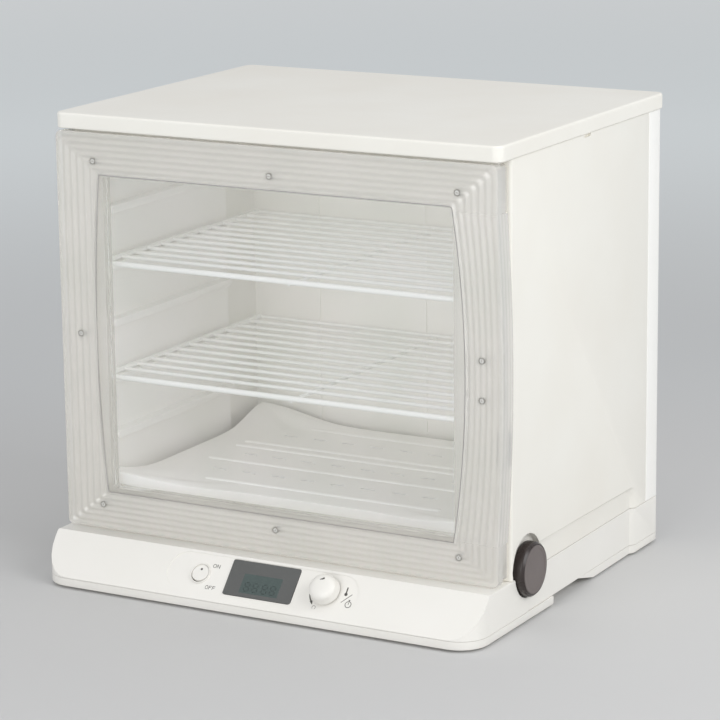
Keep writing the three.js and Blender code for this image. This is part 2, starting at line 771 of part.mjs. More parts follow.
// The shallow pill recess of the face and the openings for the display, the switch and the dial.
function panelCutters() {
  const pill = drawn('z', roundedOutline(
    panelX - panelRecessHalfLength, panelX + panelRecessHalfLength,
    -panelRecessHalfHeight, panelRecessHalfHeight, Array(4).fill(panelRecessHalfHeight - fitGap), 6,
  ), -panelRecessDepth, overrun);
  const display = (inset, depth) => drawn('z', roundedOutline(
    panelX - displayWidth / 2 + inset, panelX + displayWidth / 2 - inset,
    displayY - displayHeight / 2 + inset, displayY + displayHeight / 2 - inset,
    Array(4).fill(displayCornerRadius), 3,
  ), -depth, overrun);
  const tools = [
    pill,
    display(-fitGap, panelRecessDepth + displayThickness - fitGap),
    display(displayLedge, wall * 2),
    rod('z', switchTubeRadius + fitGap, -wall * 2, overrun, switchX, switchY),
    rod('z', encoderBushRadius + fitGap, -wall * 2, overrun, dialX, dialY),
  ];
  return tools.map((tool) => solidOf(moved(geometryOf(tool), controlPanel.matrix)));
}

const boardTop = -boardDepth;
const partOnBoard = boardTop + fitGap;

function displayCover() {
  const bottom = fitGap - panelRecessDepth - displayThickness + fitGap;
  return slab({
    x0: panelX - displayWidth / 2, x1: panelX + displayWidth / 2,
    y0: displayY - displayHeight / 2, y1: displayY + displayHeight / 2,
  }, bottom, bottom + displayThickness, Array(4).fill(displayCornerRadius), 0, 0, 3);
}

function lcdModule() {
  const top = fitGap - panelRecessDepth - displayThickness;
  return slab({
    x0: panelX - lcdWidth / 2, x1: panelX + lcdWidth / 2, y0: lcdY - lcdHeight / 2, y1: lcdY + lcdHeight / 2,
  }, partOnBoard, top, Array(4).fill(softEdge), 0, 0, 2);
}

function controlBoard() {
  const board = slab({
    x0: panelX - boardHalfLength, x1: panelX + boardHalfLength, y0: boardLowY, y1: boardHighY,
  }, boardTop - boardThickness, boardTop, Array(4).fill(softEdge), 0, 0, 2);
  return cut(board, ...boardPostPlaces().map(([x, y]) => (
    rod('z', boardPostRadius / 2, boardTop - wall, boardTop + wall, x, y, 8))));
}

function switchBody() {
  const floor = partOnBoard + softEdge;
  const under = fitGap - panelRecessDepth;
  return turned([
    [0, partOnBoard], [switchTubeRadius, partOnBoard], [switchTubeRadius, under], [switchRadius, under],
    [switchRadius, switchRim / 2], [switchRadius - switchRim / 2, switchRim],
    [switchBoreRadius + switchRim / 2, switchRim], [switchBoreRadius, switchRim / 2],
    [switchBoreRadius, floor], [0, floor],
  ], 20);
}

// The rocker, in the frame of its pivot: a round button with a shallow valley across its top.
function rockerButton() {
  const top = rockerDepth + switchRim;
  const valley = [
    [-rockerRadius - overrun, -softEdge], [rockerRadius + overrun, -softEdge],
    [rockerRadius + overrun, top], [0, top - softEdge], [-rockerRadius - overrun, top],
  ];
  return rod('z', rockerRadius, -softEdge, top + overrun, 0, 0, 32)
    .intersect(drawn('x', valley, -rockerRadius - overrun, rockerRadius + overrun));
}

function encoderBody() {
  const half = encoderSize / 2;
  const bodyTop = -wall - fitGap;
  const body = slab({ x0: dialX - half, x1: dialX + half, y0: dialY - half, y1: dialY + half },
    partOnBoard, bodyTop, Array(4).fill(softEdge), 0, 0, 2);
  return cut(
    join(body, rod('z', encoderBushRadius, bodyTop - fitGap, dialLift, dialX, dialY)),
    rod('z', dialShaftRadius + fitGap, partOnBoard + softEdge, dialLift + overrun, dialX, dialY),
  );
}

function dialShaft() {
  return rod('z', dialShaftRadius, partOnBoard + softEdge + fitGap, dialShaftTop, dialX, dialY, 16);
}

// The dial: a dome over a hollow, with a hub that slides on the shaft.
function dialKnob() {
  const top = dialLift + dialHeight;
  const hubRadius = dialShaftRadius + dialWall;
  const bore = dialShaftRadius + fitGap;
  const ceiling = top - dialRoof;
  const hubBottom = dialLift + dialWall;
  const crown = dialHeight * dialCrownShare;
  const dome = [0, 1, 2, 3].map((k) => {
    const a = (k / 3) * Math.PI / 2;
    const radiusShare = dialShoulderShare - dialDomeShare * (1 - Math.cos(a));
    return [dialRadius * radiusShare, top - crown + crown * Math.sin(a)];
  });
  return turned([
    [0, ceiling - dialBoreStep], [bore, ceiling - dialBoreStep], [bore, hubBottom],
    [hubRadius, hubBottom], [hubRadius, ceiling - dialWall],
    [dialRadius - dialWall, ceiling - crown], [dialRadius - dialWall, dialLift],
    [dialRadius, dialLift], ...dome, [0, top],
  ], 20);
}

// Tray, feet and screws

function bottomTray() {
  const inside = { x0: -bodyHalf + baseSideWall, x1: bodyHalf - baseSideWall,
    y0: baseFrontY + baseSideWall, y1: bodyRearY - baseSideWall };
  const insideRadii = [baseCornerRadius - baseSideWall, baseCornerRadius - baseSideWall, wall, wall];
  const hollow = slab(inside, footHeight + wall, trayTopZ + overrun, insideRadii, 0, 0, 4);
  let tray = cut(slab(baseArea, footHeight, trayTopZ, basePlanRadii, 0, softEdge, 6), hollow);
  const bosses = trayScrewPlaces.map(([x, y]) => (
    rod('z', trayBossRadius + wall, footHeight + wall / 2, trayTopZ, x, y, 8)));
  const inner = bodyHalf - fingerDepth - wall;
  const fingerBlocks = [[-bodyHalf + baseSideWall / 2, -inner], [inner, bodyHalf - baseSideWall / 2]]
    .map(([x0, x1]) => (
      block(x0, x1, fingerFrontY - wall, fingerRearY + wall, footHeight + softEdge, trayTopZ)));
  tray = join(tray, ...bosses, ...fingerBlocks);
  const ramp = [
    [fingerFrontY, -overrun], [fingerRearY, footHeight - overrun / 2], [fingerRearY, footHeight],
    [fingerRampY, trayTopZ + overrun], [fingerFrontY, trayTopZ + overrun],
  ];
  const rearCorner = roundedOutline(fingerFrontY, fingerRearY, -overrun, trayTopZ,
    Array(4).fill(fingerRimRadius), 2).slice(6, 9);
  const rim = [
    [fingerFrontY, -overrun], [fingerRearY, -overrun], ...rearCorner,
    [fingerRearY - fingerRimRadius, trayTopZ + overrun], [fingerFrontY, trayTopZ + overrun],
  ];
  const rightTools = [
    sideRecess(fingerRampY),
    drawn('x', ramp, bodyHalf - fingerDepth, bodyHalf + overrun),
    drawn('x', rim, bodyHalf - fingerRimWidth, bodyHalf + overrun),
  ];
  const leftTools = rightTools.map((tool) => solidOf(mirrored(geometryOf(tool))));
  tray = cut(tray, ...rightTools, ...leftTools);
  const headSeat = footHeight + trayScrewHeadHeight + fitGap * 2;
  return cut(tray,
    ...trayScrewPlaces.flatMap(([x, y]) => [
      rod('z', trayScrewRadius + fitGap, 0, trayTopZ + overrun, x, y, 8),
      rod('z', trayScrewHeadRadius + fitGap, 0, headSeat, x, y, 12),
    ]),
    ...footPlaces.map(([, x, y]) => (
      rod('z', footRadius + fitGap, 0, footHeight + footSeatDepth, x, y, 14))));
}

const footPlaces = [
  ['front_left', -footX, footFrontY], ['front_right', footX, footFrontY],
  ['rear_left', -footX, footRearY], ['rear_right', footX, footRearY],
];

function foot(x, y) {
  const top = footHeight + footSeatDepth - fitGap;
  const profile = [[0, 0], [footRadius - softEdge, 0], [footRadius, softEdge], [footRadius, top], [0, top]];
  return turned(profile, 14).translate([x, y, 0]);
}

function trayScrew(x, y) {
  const headBottom = footHeight + fitGap;
  const headTop = headBottom + trayScrewHeadHeight;
  const profile = [
    [0, headBottom], [trayScrewHeadRadius, headBottom], [trayScrewHeadRadius, headTop],
    [trayScrewRadius, headTop], [trayScrewRadius, headTop + trayScrewLength],
    [0, headTop + trayScrewLength + trayScrewRadius],
  ];
  return turned(profile, 8).translate([x, y, 0]);
}

// Lead inlet and terminals

function cordBushing() {
  const inner = -wall - fitGap;
  const profile = [
    [inletBore, inner - inletFlange], [inletRadius + wall / 2, inner - inletFlange],
    [inletRadius + wall / 2, inner], [inletRadius, inner], [inletRadius, fitGap],
    [inletFlangeRadius, fitGap], [inletFlangeRadius - softEdge, inletFlange], [inletBore, inletFlange],
    [inletBore, inner - inletFlange],
  ];
  const geometry = geometryOf(turned(profile, 14));
  geometry.rotateX(-Math.PI / 2);
  geometry.translate(inletX, bodyRearY, inletZ);
  return geometry;
}

function terminalBlock() {
  const x0 = inletX - terminalLength / 2;
  const y0 = bodyRearY - baseSideWall - terminalDepth - inletFlangeRadius;
  const bottom = footHeight + wall + fitGap;
  const step = terminalHeight * terminalStepShare;
  const [ridgeFront, ridgeRear] = terminalRidgeShares.map((share) => y0 + terminalDepth * share);
  const profile = [
    [y0, bottom], [y0 + terminalDepth, bottom], [y0 + terminalDepth, bottom + step],
    [ridgeRear, bottom + step], [ridgeRear, bottom + terminalHeight],
    [ridgeFront, bottom + terminalHeight], [ridgeFront, bottom + step], [y0, bottom + step],
  ];
  const bores = terminalBoreShares.map((share) => rod('z', wall / 2, bottom + step,
    bottom + terminalHeight + overrun, x0 + share * terminalLength, y0 + terminalDepth / 2, 8));
  return cut(drawn('x', profile, x0, x0 + terminalLength), ...bores);
}

// Heater, dish and sensors

// The element lies on the floor of the well as a long hairpin.
function heatingElement() {
  const z = basinFloorZ + fitGap + elementRadius;
  const bend = elementRearY - elementHalfSpan;
  const path = new THREE.CurvePath();
  path.add(new THREE.LineCurve3(
    new THREE.Vector3(-elementHalfSpan, elementFrontY, z), new THREE.Vector3(-elementHalfSpan, bend, z)));
  const arc = Array.from({ length: elementBendSteps + 1 }, (_, k) => {
    const angle = Math.PI * (1 - k / elementBendSteps);
    return new THREE.Vector3(elementHalfSpan * Math.cos(angle), bend + elementHalfSpan * Math.sin(angle), z);
  });
  path.add(new THREE.CatmullRomCurve3(arc));
  path.add(new THREE.LineCurve3(
    new THREE.Vector3(elementHalfSpan, bend, z), new THREE.Vector3(elementHalfSpan, elementFrontY, z)));
  const section = new THREE.Shape(Array.from({ length: elementSides }, (_, k) => {
    const angle = Math.PI * 2 * k / elementSides;
    return new THREE.Vector2(elementRadius * Math.cos(angle), elementRadius * Math.sin(angle));
  }));
  const geometry = new THREE.ExtrudeGeometry(section, {
    extrudePath: path, steps: elementBendSteps * 2, bevelEnabled: false,
  });
  return solidOf(geometry);
}

function heaterPlate() {
  const area = { x0: -plateHalfWidth, x1: plateHalfWidth, y0: plateFrontY, y1: plateRearY };
  return slab(area, heaterPlateZ, heaterPlateZ + plateThickness, Array(4).fill(dishWall * 4), 0, 0);
}

function waterDish() {
  const area = { x0: -dishHalfWidth, x1: dishHalfWidth, y0: dishFrontY, y1: dishRearY };
  const outerRadii = Array(4).fill(dishCornerRadius);
  const innerRadii = Array(4).fill(dishCornerRadius - dishWall);
  const rimRadii = Array(4).fill(dishCornerRadius + dishWall * 2);
  const top = dishBottomZ + dishHeight;
  const outer = slab(area, dishBottomZ, top, outerRadii, 0, dishWall * 2);
  const rim = slab(grown(area, dishWall * 2), top - dishWall, top, rimRadii, 0, 0);
  const inner = slab(grown(area, -dishWall), dishBottomZ + dishWall, top + overrun, innerRadii, 0, dishWall);
  return cut(join(outer, rim), inner);
}

function temperatureSensor() {
  const low = basinFloorZ + fitGap;
  const flange = sensorRadius * 2;
  const profile = [
    [0, low], [flange, low], [flange, low + wall], [sensorRadius, low + wall],
    [sensorRadius, low + sensorHeight - sensorRadius],
    [sensorRadius * sensorTipShare, low + sensorHeight - softEdge],
    [0, low + sensorHeight],
  ];
  return turned(profile, 12).translate([sensorX, sensorY, 0]);
}

function thermalFuse() {
  const z = basinFloorZ + fitGap + fuseRadius;
  const y = (elementFrontY + elementRearY) / 2;
  const lead = fuseRadius * fuseLeadShare;
  return join(
    rod('x', fuseRadius, fuseX - fuseLength / 2, fuseX + fuseLength / 2, y, z, 12),
    rod('x', lead, fuseX - fuseLength, fuseX + fuseLength, y, z, 6),
  );
}

// Lock knobs and their shafts, in a group at the knob's axis; x points outwards on the right side

function lockKnobProfile() {
  const back = pocketFloorX + knobStandoff;
  const face = back + knobThickness;
  const bevel = knobBackRadius - knobFaceRadius;
  const hub = lockShaftRadius + fitGap;
  const dish = knobFaceRadius - wall;
  return [
    [0, back + wall], [hub, back + wall], [hub, back], [knobBackRadius, back], [knobBackRadius, face - bevel],
    [knobFaceRadius, face], [dish, face], [dish - softEdge, face - softEdge / 2], [0, face - softEdge / 2],
  ];
}

function lockShaft() {
  const seat = pocketFloorX + knobStandoff + wall - fitGap;
  const reach = camRadius - camHalfWidth;
  const cam = drawn('x', roundedOutline(-camHalfWidth, camHalfWidth, -reach - camHalfWidth,
    reach + camHalfWidth, Array(4).fill(camHalfWidth - fitGap), 4), camInnerX, shellInnerX);
  return join(cam, rod('x', lockShaftRadius, shellInnerX - wall, seat, 0, 0, 16));
}

// Side walls

function sideShell(side) {
  const area = { x0: shellInnerX, x1: bodyHalf, y0: panelFrontY, y1: backSeamY - fitGap };
  const shell = slab(area, wallBottomZ, wallTopZ, [fitGap, wall, softEdge, fitGap], 0, 0, 3);
  const hood = rod('x', hoodRadius, pocketFloorX, bodyHalf + overrun,
    knobY - hoodLead, knobZ + hoodRise, 24);
  const notch = block(bodyHalf - notchHeight, bodyHalf + overrun, notchY - notchWidth / 2,
    notchY + notchWidth / 2, wallTopZ - notchHeight, wallTopZ + overrun);
  const core = block(shellInnerX - overrun, bodyHalf - wall, panelFrontY + sideCoreEdge,
    backSeamY - sideCoreEdge, sideCoreBottomZ, wallTopZ - sideCoreEdge);
  const tools = [sideRecess(), ...lockCutters(), hood, notch, core];
  if (side > 0) tools.push(magnetSolid(fitGap));
  const geometry = geometryOf(cut(shell, ...tools));
  return side > 0 ? geometry : mirrored(geometry);
}

// The catch magnet, or with a clearance its pocket, in the front edge of the right wall.
function magnetSolid(clearance) {
  return block(strikeX - clearance, strikeX + strikeWidth + clearance,
    panelFrontY - clearance * 2, panelFrontY + magnetLength + clearance,
    catchZ - strikeHeight / 2 - clearance, catchZ + strikeHeight / 2 + clearance);
}

const railTops = Array.from({ length: railCount }, (_, k) => railLowestTopZ + k * railPitch);

// A moulded rail: flat on top, drawn in below and at its ends.
function shelfRail(top) {
  const ring = (x, draw) => roundedOutline(railFrontY + draw, railRearY - draw, top - railHeight + draw, top,
    [railSoftness, railSoftness, softEdge, softEdge], 1).map(([y, z]) => new THREE.Vector3(x, y, z));
  return loft([
    ring(sideInnerX + overrun, 0), ring(sideInnerX, 0),
    ring(sideInnerX - railReach + softEdge, railSoftness / 2), ring(sideInnerX - railReach, railSoftness),
  ]);
}

function sideLiner(side) {
  const area = { x0: sideInnerX, x1: linerOuterX, y0: panelFrontY, y1: linerRearY };
  const skin = slab(area, wallBottomZ, wallTopZ, [wall, fitGap, fitGap, softEdge], 0, 0, 3);
  const half = lugThickness / 2 + runGap;
  const lugRooms = sideLugPlaces.map((y) => block(foldPinX - half, linerOuterX + overrun,
    y - lugLength / 2 - runGap, y + lugLength / 2 + runGap, baseTopZ, foldPinZ + half));
  const bore = rod('y', foldPinRadius + fitGap, foldPinFrontY - fitGap, linerRearY + overrun,
    foldPinX, foldPinZ, 8);
  const solid = cut(join(skin, ...railTops.map(shelfRail)), ...lockCutters(), ...lugRooms, bore);
  const geometry = geometryOf(solid);
  return side > 0 ? geometry : mirrored(geometry);
}

// Back wall with its returns, its inner tongues and the faint grooves of its inner face.
function backPanel() {
  const area = { x0: -bodyHalf, x1: bodyHalf, y0: backSeamY, y1: bodyRearY };
  const outer = slab(area, wallBottomZ, wallTopZ,
    [softEdge, softEdge, rearCornerRadius, rearCornerRadius], 0, 0, 4);
  const room = block(-backRecessX, backRecessX, backSeamY - overrun, backInnerY,
    wallBottomZ - overrun, wallTopZ + overrun);
  const tongues = [[-linerOuterX, -backRecessX], [backRecessX, linerOuterX]].map(([x0, x1]) => (
    block(x0, x1, linerRearY + fitGap, backSeamY + overrun, wallBottomZ, wallTopZ)));
  const grooves = [-1, 0, 1].map((k) => {
    const x = grooveMiddleX + k * groovePitch;
    return block(x - grooveWidth / 2, x + grooveWidth / 2, backInnerY - overrun, backInnerY + grooveDepth,
      coverTopZ, wallTopZ + overrun);
  });
  const half = lugThickness / 2 + runGap;
  const lugRooms = backLugPlaces.map((x) => block(x - lugLength / 2 - runGap, x + lugLength / 2 + runGap,
    backPinY - half, backPinY + half, baseTopZ, foldPinZ + half));
  const bore = rod('x', foldPinRadius + fitGap, -backPinHalfLength - fitGap, backPinHalfLength + fitGap,
    backPinY, foldPinZ, 8);
  return cut(join(cut(outer, room), ...tongues), ...grooves, ...lugRooms, bore);
}

// Lid

const lidLinerArea = {
  x0: -sideInnerX + wall / 2, x1: sideInnerX - wall / 2, y0: panelFrontY + wall, y1: backInnerY - wall / 2,
};

function lidTop() {
  const area = { x0: -lidHalfWidth, x1: lidHalfWidth, y0: lidFrontY, y1: lidRearY };
  const body = slab(area, lidUnderZ, lidTopZ, Array(4).fill(lidCornerRadius), lidTopRound, softEdge);
  const recess = slab(grown(lidLinerArea, fitGap), lidUnderZ - overrun, lidUnderZ + lidLinerSeat,
    Array(4).fill(wall + fitGap), 0, 0, 2);
  const core = slab(grown(lidLinerArea, -wall), lidUnderZ, lidTopZ - wall, Array(4).fill(wall), 0, 0, 2);
  const pinHole = rod('z', hingePinRadius + fitGap, lidUnderZ - overrun, lidUnderZ + hingePinSeat + fitGap,
    hingeX, hingeY);
  return cut(body, recess, core, pinHole);
}

// A shallow pan, open towards the hollow of the lid.
function lidLiner() {
  const pan = slab(lidLinerArea, lidUnderZ - lidLinerDrop, lidUnderZ + lidLinerSeat - fitGap,
    Array(4).fill(wall), 0, softEdge, 2);
  return cut(pan, slab(grown(lidLinerArea, -wall), lidUnderZ - lidLinerDrop + wall, lidTopZ,
    Array(4).fill(wall), 0, 0, 2));
}

// Door

// How far an edge bulges at a height, as an arc between two levels.
function arch(z, low, high, bulge) {
  const t = (2 * z - low - high) / (high - low);
  return bulge * Math.max(0, 1 - t * t);
}

const gripLevels = Array.from({ length: gripLevelCount + 1 }, (_, k) => THREE.MathUtils.lerp(
  gripBottomZ + gripStep, gripTopZ - gripStep, k / gripLevelCount));
const leftLevelShares = [0.82, 0.5, 0.18];
const crossShares = [0.5];

// One ring of the outer door moulding. inward runs from 0 at the outer edge to 1 at the window's edge,
// depth is measured back from the door's face, and gripDepth is the depth along the grip.
function doorRing(inward, depth, gripDepth = depth - gripProud, inset = 0) {
  const mix = (outer, inner) => THREE.MathUtils.lerp(outer, inner, inward);
  const low = mix(doorBottomZ, windowBottomZ) + inset;
  const high = mix(doorTopZ, windowTopZ) - inset;
  const side = mix(doorHalfWidth, windowHalfWidth) - inset;
  const radius = Math.max(mix(doorCornerRadius, windowCornerRadius) - inset, windowCornerRadius / 2);
  const soft = Math.max(mix(doorCornerRadius, windowSoftCornerRadius) - inset, windowCornerRadius / 2);
  const rightArch = (z) => arch(z, gripBottomZ, gripTopZ, mix(gripBulge, windowArchRight));
  const leftPart = THREE.MathUtils.smoothstep(inward, 1 - 1 / ribCount, 1);
  const leftArch = (z) => leftPart * arch(z, windowBottomZ, windowTopZ, windowArchLeft);
  const corners = roundedOutline(-side, side, low, high, [radius, radius, soft, radius], 2);
  const bottom = crossShares.map((share) => [THREE.MathUtils.lerp(-side, side, share), low]);
  const top = crossShares.map((share) => [THREE.MathUtils.lerp(side, -side, share), high]);
  const right = gripLevels.map((z) => [side + rightArch(z), z]);
  const left = leftLevelShares.map((share) => {
    const z = THREE.MathUtils.lerp(windowBottomZ, windowTopZ, share);
    return [-side - leftArch(z), z];
  });
  const flat = (points) => points.map(([x, z]) => new THREE.Vector3(x, doorFaceY + depth, z));
  const grip = (points) => points.map(([x, z]) => new THREE.Vector3(x, doorFaceY + gripDepth, z));
  return [
    ...flat(corners.slice(0, 3)), ...flat(bottom), ...flat(corners.slice(3, 6)),
    ...flat([[side, gripBottomZ - gripStep]]), ...grip(right), ...flat([[side, gripTopZ + gripStep]]),
    ...flat(corners.slice(6, 9)), ...flat(top), ...flat(corners.slice(9, 12)), ...flat(left),
  ];
}

// The clear outer moulding: its ribs fan from the straight outer edge to the barrel-arched window.
function doorOuter() {
  const rimShare = rimWidth / (doorHalfWidth - windowHalfWidth);
  const steps = ribCount * ribSteps;
  const ribs = Array.from({ length: steps + 1 }, (_, k) => {
    const across = k / steps;
    const wave = ribHeight * (1 - Math.cos(across * ribCount * Math.PI * 2)) / 2;
    const inward = THREE.MathUtils.lerp(rimShare, 1, across);
    const depth = gripProud + paneSetBack * across * across + wave;
    return doorRing(inward, depth, k < steps ? depth - gripProud : depth);
  });
  const backRing = (inward, inset) => doorRing(inward, doorOuterDepth, doorOuterDepth, inset);
  const paneBack = gripProud + paneSetBack + paneThickness;
  const rings = [
    ...ribs.reverse(),
    doorRing(0, gripProud, 0, softEdge),
    doorRing(0, gripProud + softEdge, softEdge, 0),
    doorRing(0, doorOuterDepth - skirtLip, gripSkirtDepth, 0),
    doorRing(0, doorOuterDepth - skirtLip, gripSkirtDepth, skirtWall),
    backRing(0, skirtWall + skirtLip / 2),
    backRing(1, -jambInset),
    doorRing(1, paneBack, paneBack, -jambInset / 2),
  ];
  const screwHoles = doorScrewPlaces.map(([x, z]) => rod('y', doorScrewShankRadius + fitGap,
    doorOuterBackY - doorScrewBite - fitGap, doorOuterBackY + overrun, x, z, 6));
  return cut(loft(rings), ...screwHoles);
}

const doorScrewPlaces = [
  ...[windowTopZ + screwRowInset, windowBottomZ - screwRowInset].flatMap((z) => (
    [-screwRowX, 0, screwRowX].map((x) => [x, z]))),
  [screwLeftX, sideScrewsZ],
  [screwRightX, sideScrewsZ + screwRightSpread],
  [screwRightX, sideScrewsZ - screwRightSpread],
];

// The clear inner moulding: a frame with straight jambs, a second pane, and a round hinge edge.
function doorInner() {
  const x0 = -doorHalfWidth + innerInset;
  const x1 = doorHalfWidth - skirtWall - fitGap;
  const z0 = doorBottomZ + innerInset;
  const z1 = doorTopZ - innerInset;
  const radii = Array(4).fill(doorCornerRadius - innerInset);
  const frame = drawn('y', roundedOutline(x0, x1, z0, z1, radii), doorInnerFrontY, doorInnerBackY);
  const window = roundedOutline(-windowHalfWidth + jambInset, windowHalfWidth - jambInset,
    windowBottomZ + jambInset, windowTopZ - jambInset, Array(4).fill(windowSoftCornerRadius));
  const paneY = (doorInnerFrontY + doorInnerBackY) / 2;
  const frontPocket = drawn('y', window, doorInnerFrontY - overrun, paneY - innerPaneThickness / 2);
  const backPocket = drawn('y', window, paneY + innerPaneThickness / 2, doorInnerBackY + overrun);
  const edge = cut(
    block(x0 - overrun, hingeX, hingeY, doorInnerBackY + overrun, z0 - overrun, z1 + overrun),
    rod('z', hingeInset, z0 - overrun * 2, z1 + overrun * 2, hingeX, hingeY, 28),
  );
  const pinReach = hingePinReach + fitGap;
  const pinBores = [[z0 - overrun, z0 + pinReach], [z1 - pinReach, z1 + overrun]].map(([low, high]) => (
    rod('z', hingePinRadius + fitGap, low, high, hingeX, hingeY)));
  const screwBores = doorScrewPlaces.flatMap(([x, z]) => [
    rod('y', doorScrewShankRadius + fitGap, doorInnerFrontY - overrun, doorInnerBackY + overrun, x, z, 6),
    rod('y', doorScrewHeadRadius + fitGap, doorInnerBackY - doorScrewHeadHeight - fitGap * 2,
      doorInnerBackY + overrun, x, z, 8),
  ]);
  const strikeSeat = strikeSolid(fitGap);
  return cut(frame, frontPocket, backPocket, edge, ...pinBores, ...screwBores, strikeSeat);
}

// The steel strike plate on the inner moulding, or with a clearance its seat.
function strikeSolid(clearance) {
  const back = panelFrontY - runGap;
  const depth = clearance > 0 ? overrun : 0;
  return block(strikeX - clearance, strikeX + strikeWidth - runGap * 4 + clearance,
    back - strikeThickness - clearance, back + depth,
    catchZ - strikeHeight / 2 - clearance, catchZ + strikeHeight / 2 + clearance);
}

function doorSeal() {
  const ring = (inset, from, to) => drawn('y', roundedOutline(
    -doorHalfWidth + inset, doorHalfWidth - inset, doorBottomZ + inset / 2, doorTopZ - inset / 2,
    Array(4).fill(doorCornerRadius)), from, to);
  return cut(ring(sealOuterInset, doorInnerBackY + fitGap, sealBackY),
    ring(sealOuterInset + sealWidth, doorInnerBackY - overrun, sealBackY + overrun));
}

function doorScrew(x, z) {
  const headFace = -fitGap;
  const headBack = headFace - doorScrewHeadHeight;
  const tip = doorOuterBackY - doorScrewBite - doorInnerBackY;
  const profile = [
    [0, tip], [doorScrewShankRadius, tip + doorScrewShankRadius], [doorScrewShankRadius, headBack],
    [doorScrewHeadRadius, headBack], [doorScrewHeadRadius, headFace], [0, headFace],
  ];
  const geometry = geometryOf(turned(profile, 8));
  geometry.rotateX(-Math.PI / 2);
  geometry.translate(x, doorInnerBackY, z);
  return geometry;
}

// Shelves

// A wire shelf: a bent frame with a stout front bar, cross wires, and one support wire under them.
function wireShelf(z) {
  const x = shelfHalfWidth - shelfSideRadius;
  const front = shelfFrontY + shelfCornerRadius;
  const bend = (side) => {
    const arc = Array.from({ length: shelfCornerSteps + 1 }, (_, k) => {
      const angle = k / shelfCornerSteps * Math.PI / 2;
      return new THREE.Vector3(side * (x - shelfCornerRadius * (1 - Math.cos(angle))),
        front - shelfCornerRadius * Math.sin(angle), z);
    });
    const section = new THREE.Shape(Array.from({ length: shelfBarSides }, (_, k) => {
      const turn = Math.PI * 2 * k / shelfBarSides;
      return new THREE.Vector2(shelfBarRadius * Math.cos(turn), shelfBarRadius * Math.sin(turn));
    }));
    return solidOf(new THREE.ExtrudeGeometry(section, {
      extrudePath: new THREE.CatmullRomCurve3(arc), steps: 4, bevelEnabled: false,
    }));
  };
  const straight = x - shelfCornerRadius + fitGap;
  const parts = [
    bend(1), bend(-1),
    rod('x', shelfBarRadius, -straight, straight, shelfFrontY, z, shelfBarSides),
    rod('y', shelfSideRadius, front - fitGap, shelfRearY, x, z, 6),
    rod('y', shelfSideRadius, front - fitGap, shelfRearY, -x, z, 6),
    rod('y', shelfWireRadius, shelfFrontY, shelfRearY, 0, z - shelfSupportDrop, 6),
  ];
  for (let k = 0; k < shelfWireCount; k++) {
    parts.push(rod('x', shelfWireRadius, -x, x, shelfRearY - k * shelfWirePitch, z, 6));
  }
  return join(...parts);
}

// Floor cover

// The cover's outline: scooped in along each side, with its corners left long.
function coverOutline() {
  const middleY = (coverFrontY + coverRearY) / 2;
  const halfDepth = (coverRearY - coverFrontY) / 2;
  const shares = [-0.97, -0.83, -0.65, -0.48, -0.25, 0.25, 0.48, 0.65, 0.83, 0.97];
  const scoopStartShare = 0.3;
  const scooped = (share) => {
    const blend = THREE.MathUtils.clamp((Math.abs(share) - scoopStartShare) / (1 - scoopStartShare), 0, 1);
    return (1 + Math.cos(Math.PI * blend)) / 2;
  };
  const sides = [
    (share) => [share * coverHalfWidth, -halfDepth + coverFrontScoop * scooped(share)],
    (share) => [coverHalfWidth - coverSideScoop * scooped(share), share * halfDepth],
    (share) => [-share * coverHalfWidth, halfDepth - coverRearScoop * scooped(share)],
    (share) => [-coverHalfWidth + coverSideScoop * scooped(share), -share * halfDepth],
  ];
  return sides.flatMap((side) => shares.map((share) => {
    const [x, y] = side(share);
    return { x, y: y + middleY, corner: 1 - scooped(share) };
  }));
}

function floorCover() {
  const outline = coverOutline();
  const middleY = (coverFrontY + coverRearY) / 2;
  const riseStartShare = 0.7;
  const ring = (share, drop) => outline.map(({ x, y, corner }) => {
    const rise = coverCornerRise * corner * corner * THREE.MathUtils.smoothstep(share, riseStartShare, 1);
    return new THREE.Vector3(x * share, middleY + (y - middleY) * share, coverTopZ + rise - drop);
  });
  const rimShare = 1 - coverRimWall / coverHalfWidth;
  const surfaceShares = [0.7, 0.85];
  const body = loft([
    ...surfaceShares.map((share) => ring(share, 0)),
    ring(rimShare, 0), ring(1, softEdge), ring(1, coverSkirt), ring(rimShare, coverSkirt),
    ring(rimShare, coverPlate),
    ...[...surfaceShares].reverse().map((share) => ring(share, coverPlate)),
  ]);
  const halfDepth = (coverRearY - coverFrontY) / 2;
  const ridges = coverRidgeShares.map((share) => {
    const y = middleY + share * halfDepth;
    const reach = coverHalfWidth * (Math.abs(share) > endRidgeShare ? endRidgeReachShare : ridgeReachShare);
    const arcPoints = [0, 0.5, 1].map((turnShare) => {
      const angle = turnShare * Math.PI;
      return [y + coverRidgeWidth / 2 * Math.cos(angle), coverTopZ + coverRidgeHeight * Math.sin(angle)];
    });
    const low = coverTopZ - coverPlate / 2;
    return drawn('x', [[y - coverRidgeWidth / 2, low], [y + coverRidgeWidth / 2, low], ...arcPoints],
      -reach, reach);
  });
  const slots = slotRowShares.flatMap((share) => Array.from({ length: slotsPerRow }, (_, k) => {
    const x = (k - (slotsPerRow - 1) / 2) * slotPitch;
    const y = middleY + share * halfDepth;
    return block(x - slotLength / 2, x + slotLength / 2, y - slotWidth / 2, y + slotWidth / 2,
      coverUnderZ - overrun, coverTopZ + overrun);
  }));
  return cut(join(body, ...ridges), ...slots);
}

// Assembly

place('base_housing', baseHousing(), whitePlastic);
place('heater_well', heaterWell(), whitePlastic);
place('bottom_tray', bottomTray(), whitePlastic);
for (const [corner, x, y] of footPlaces) place(`foot_${corner}`, foot(x, y), rubber);
trayScrewPlaces.forEach(([x, y], k) => place(`base_screw_${k + 1}`, trayScrew(x, y), steel));

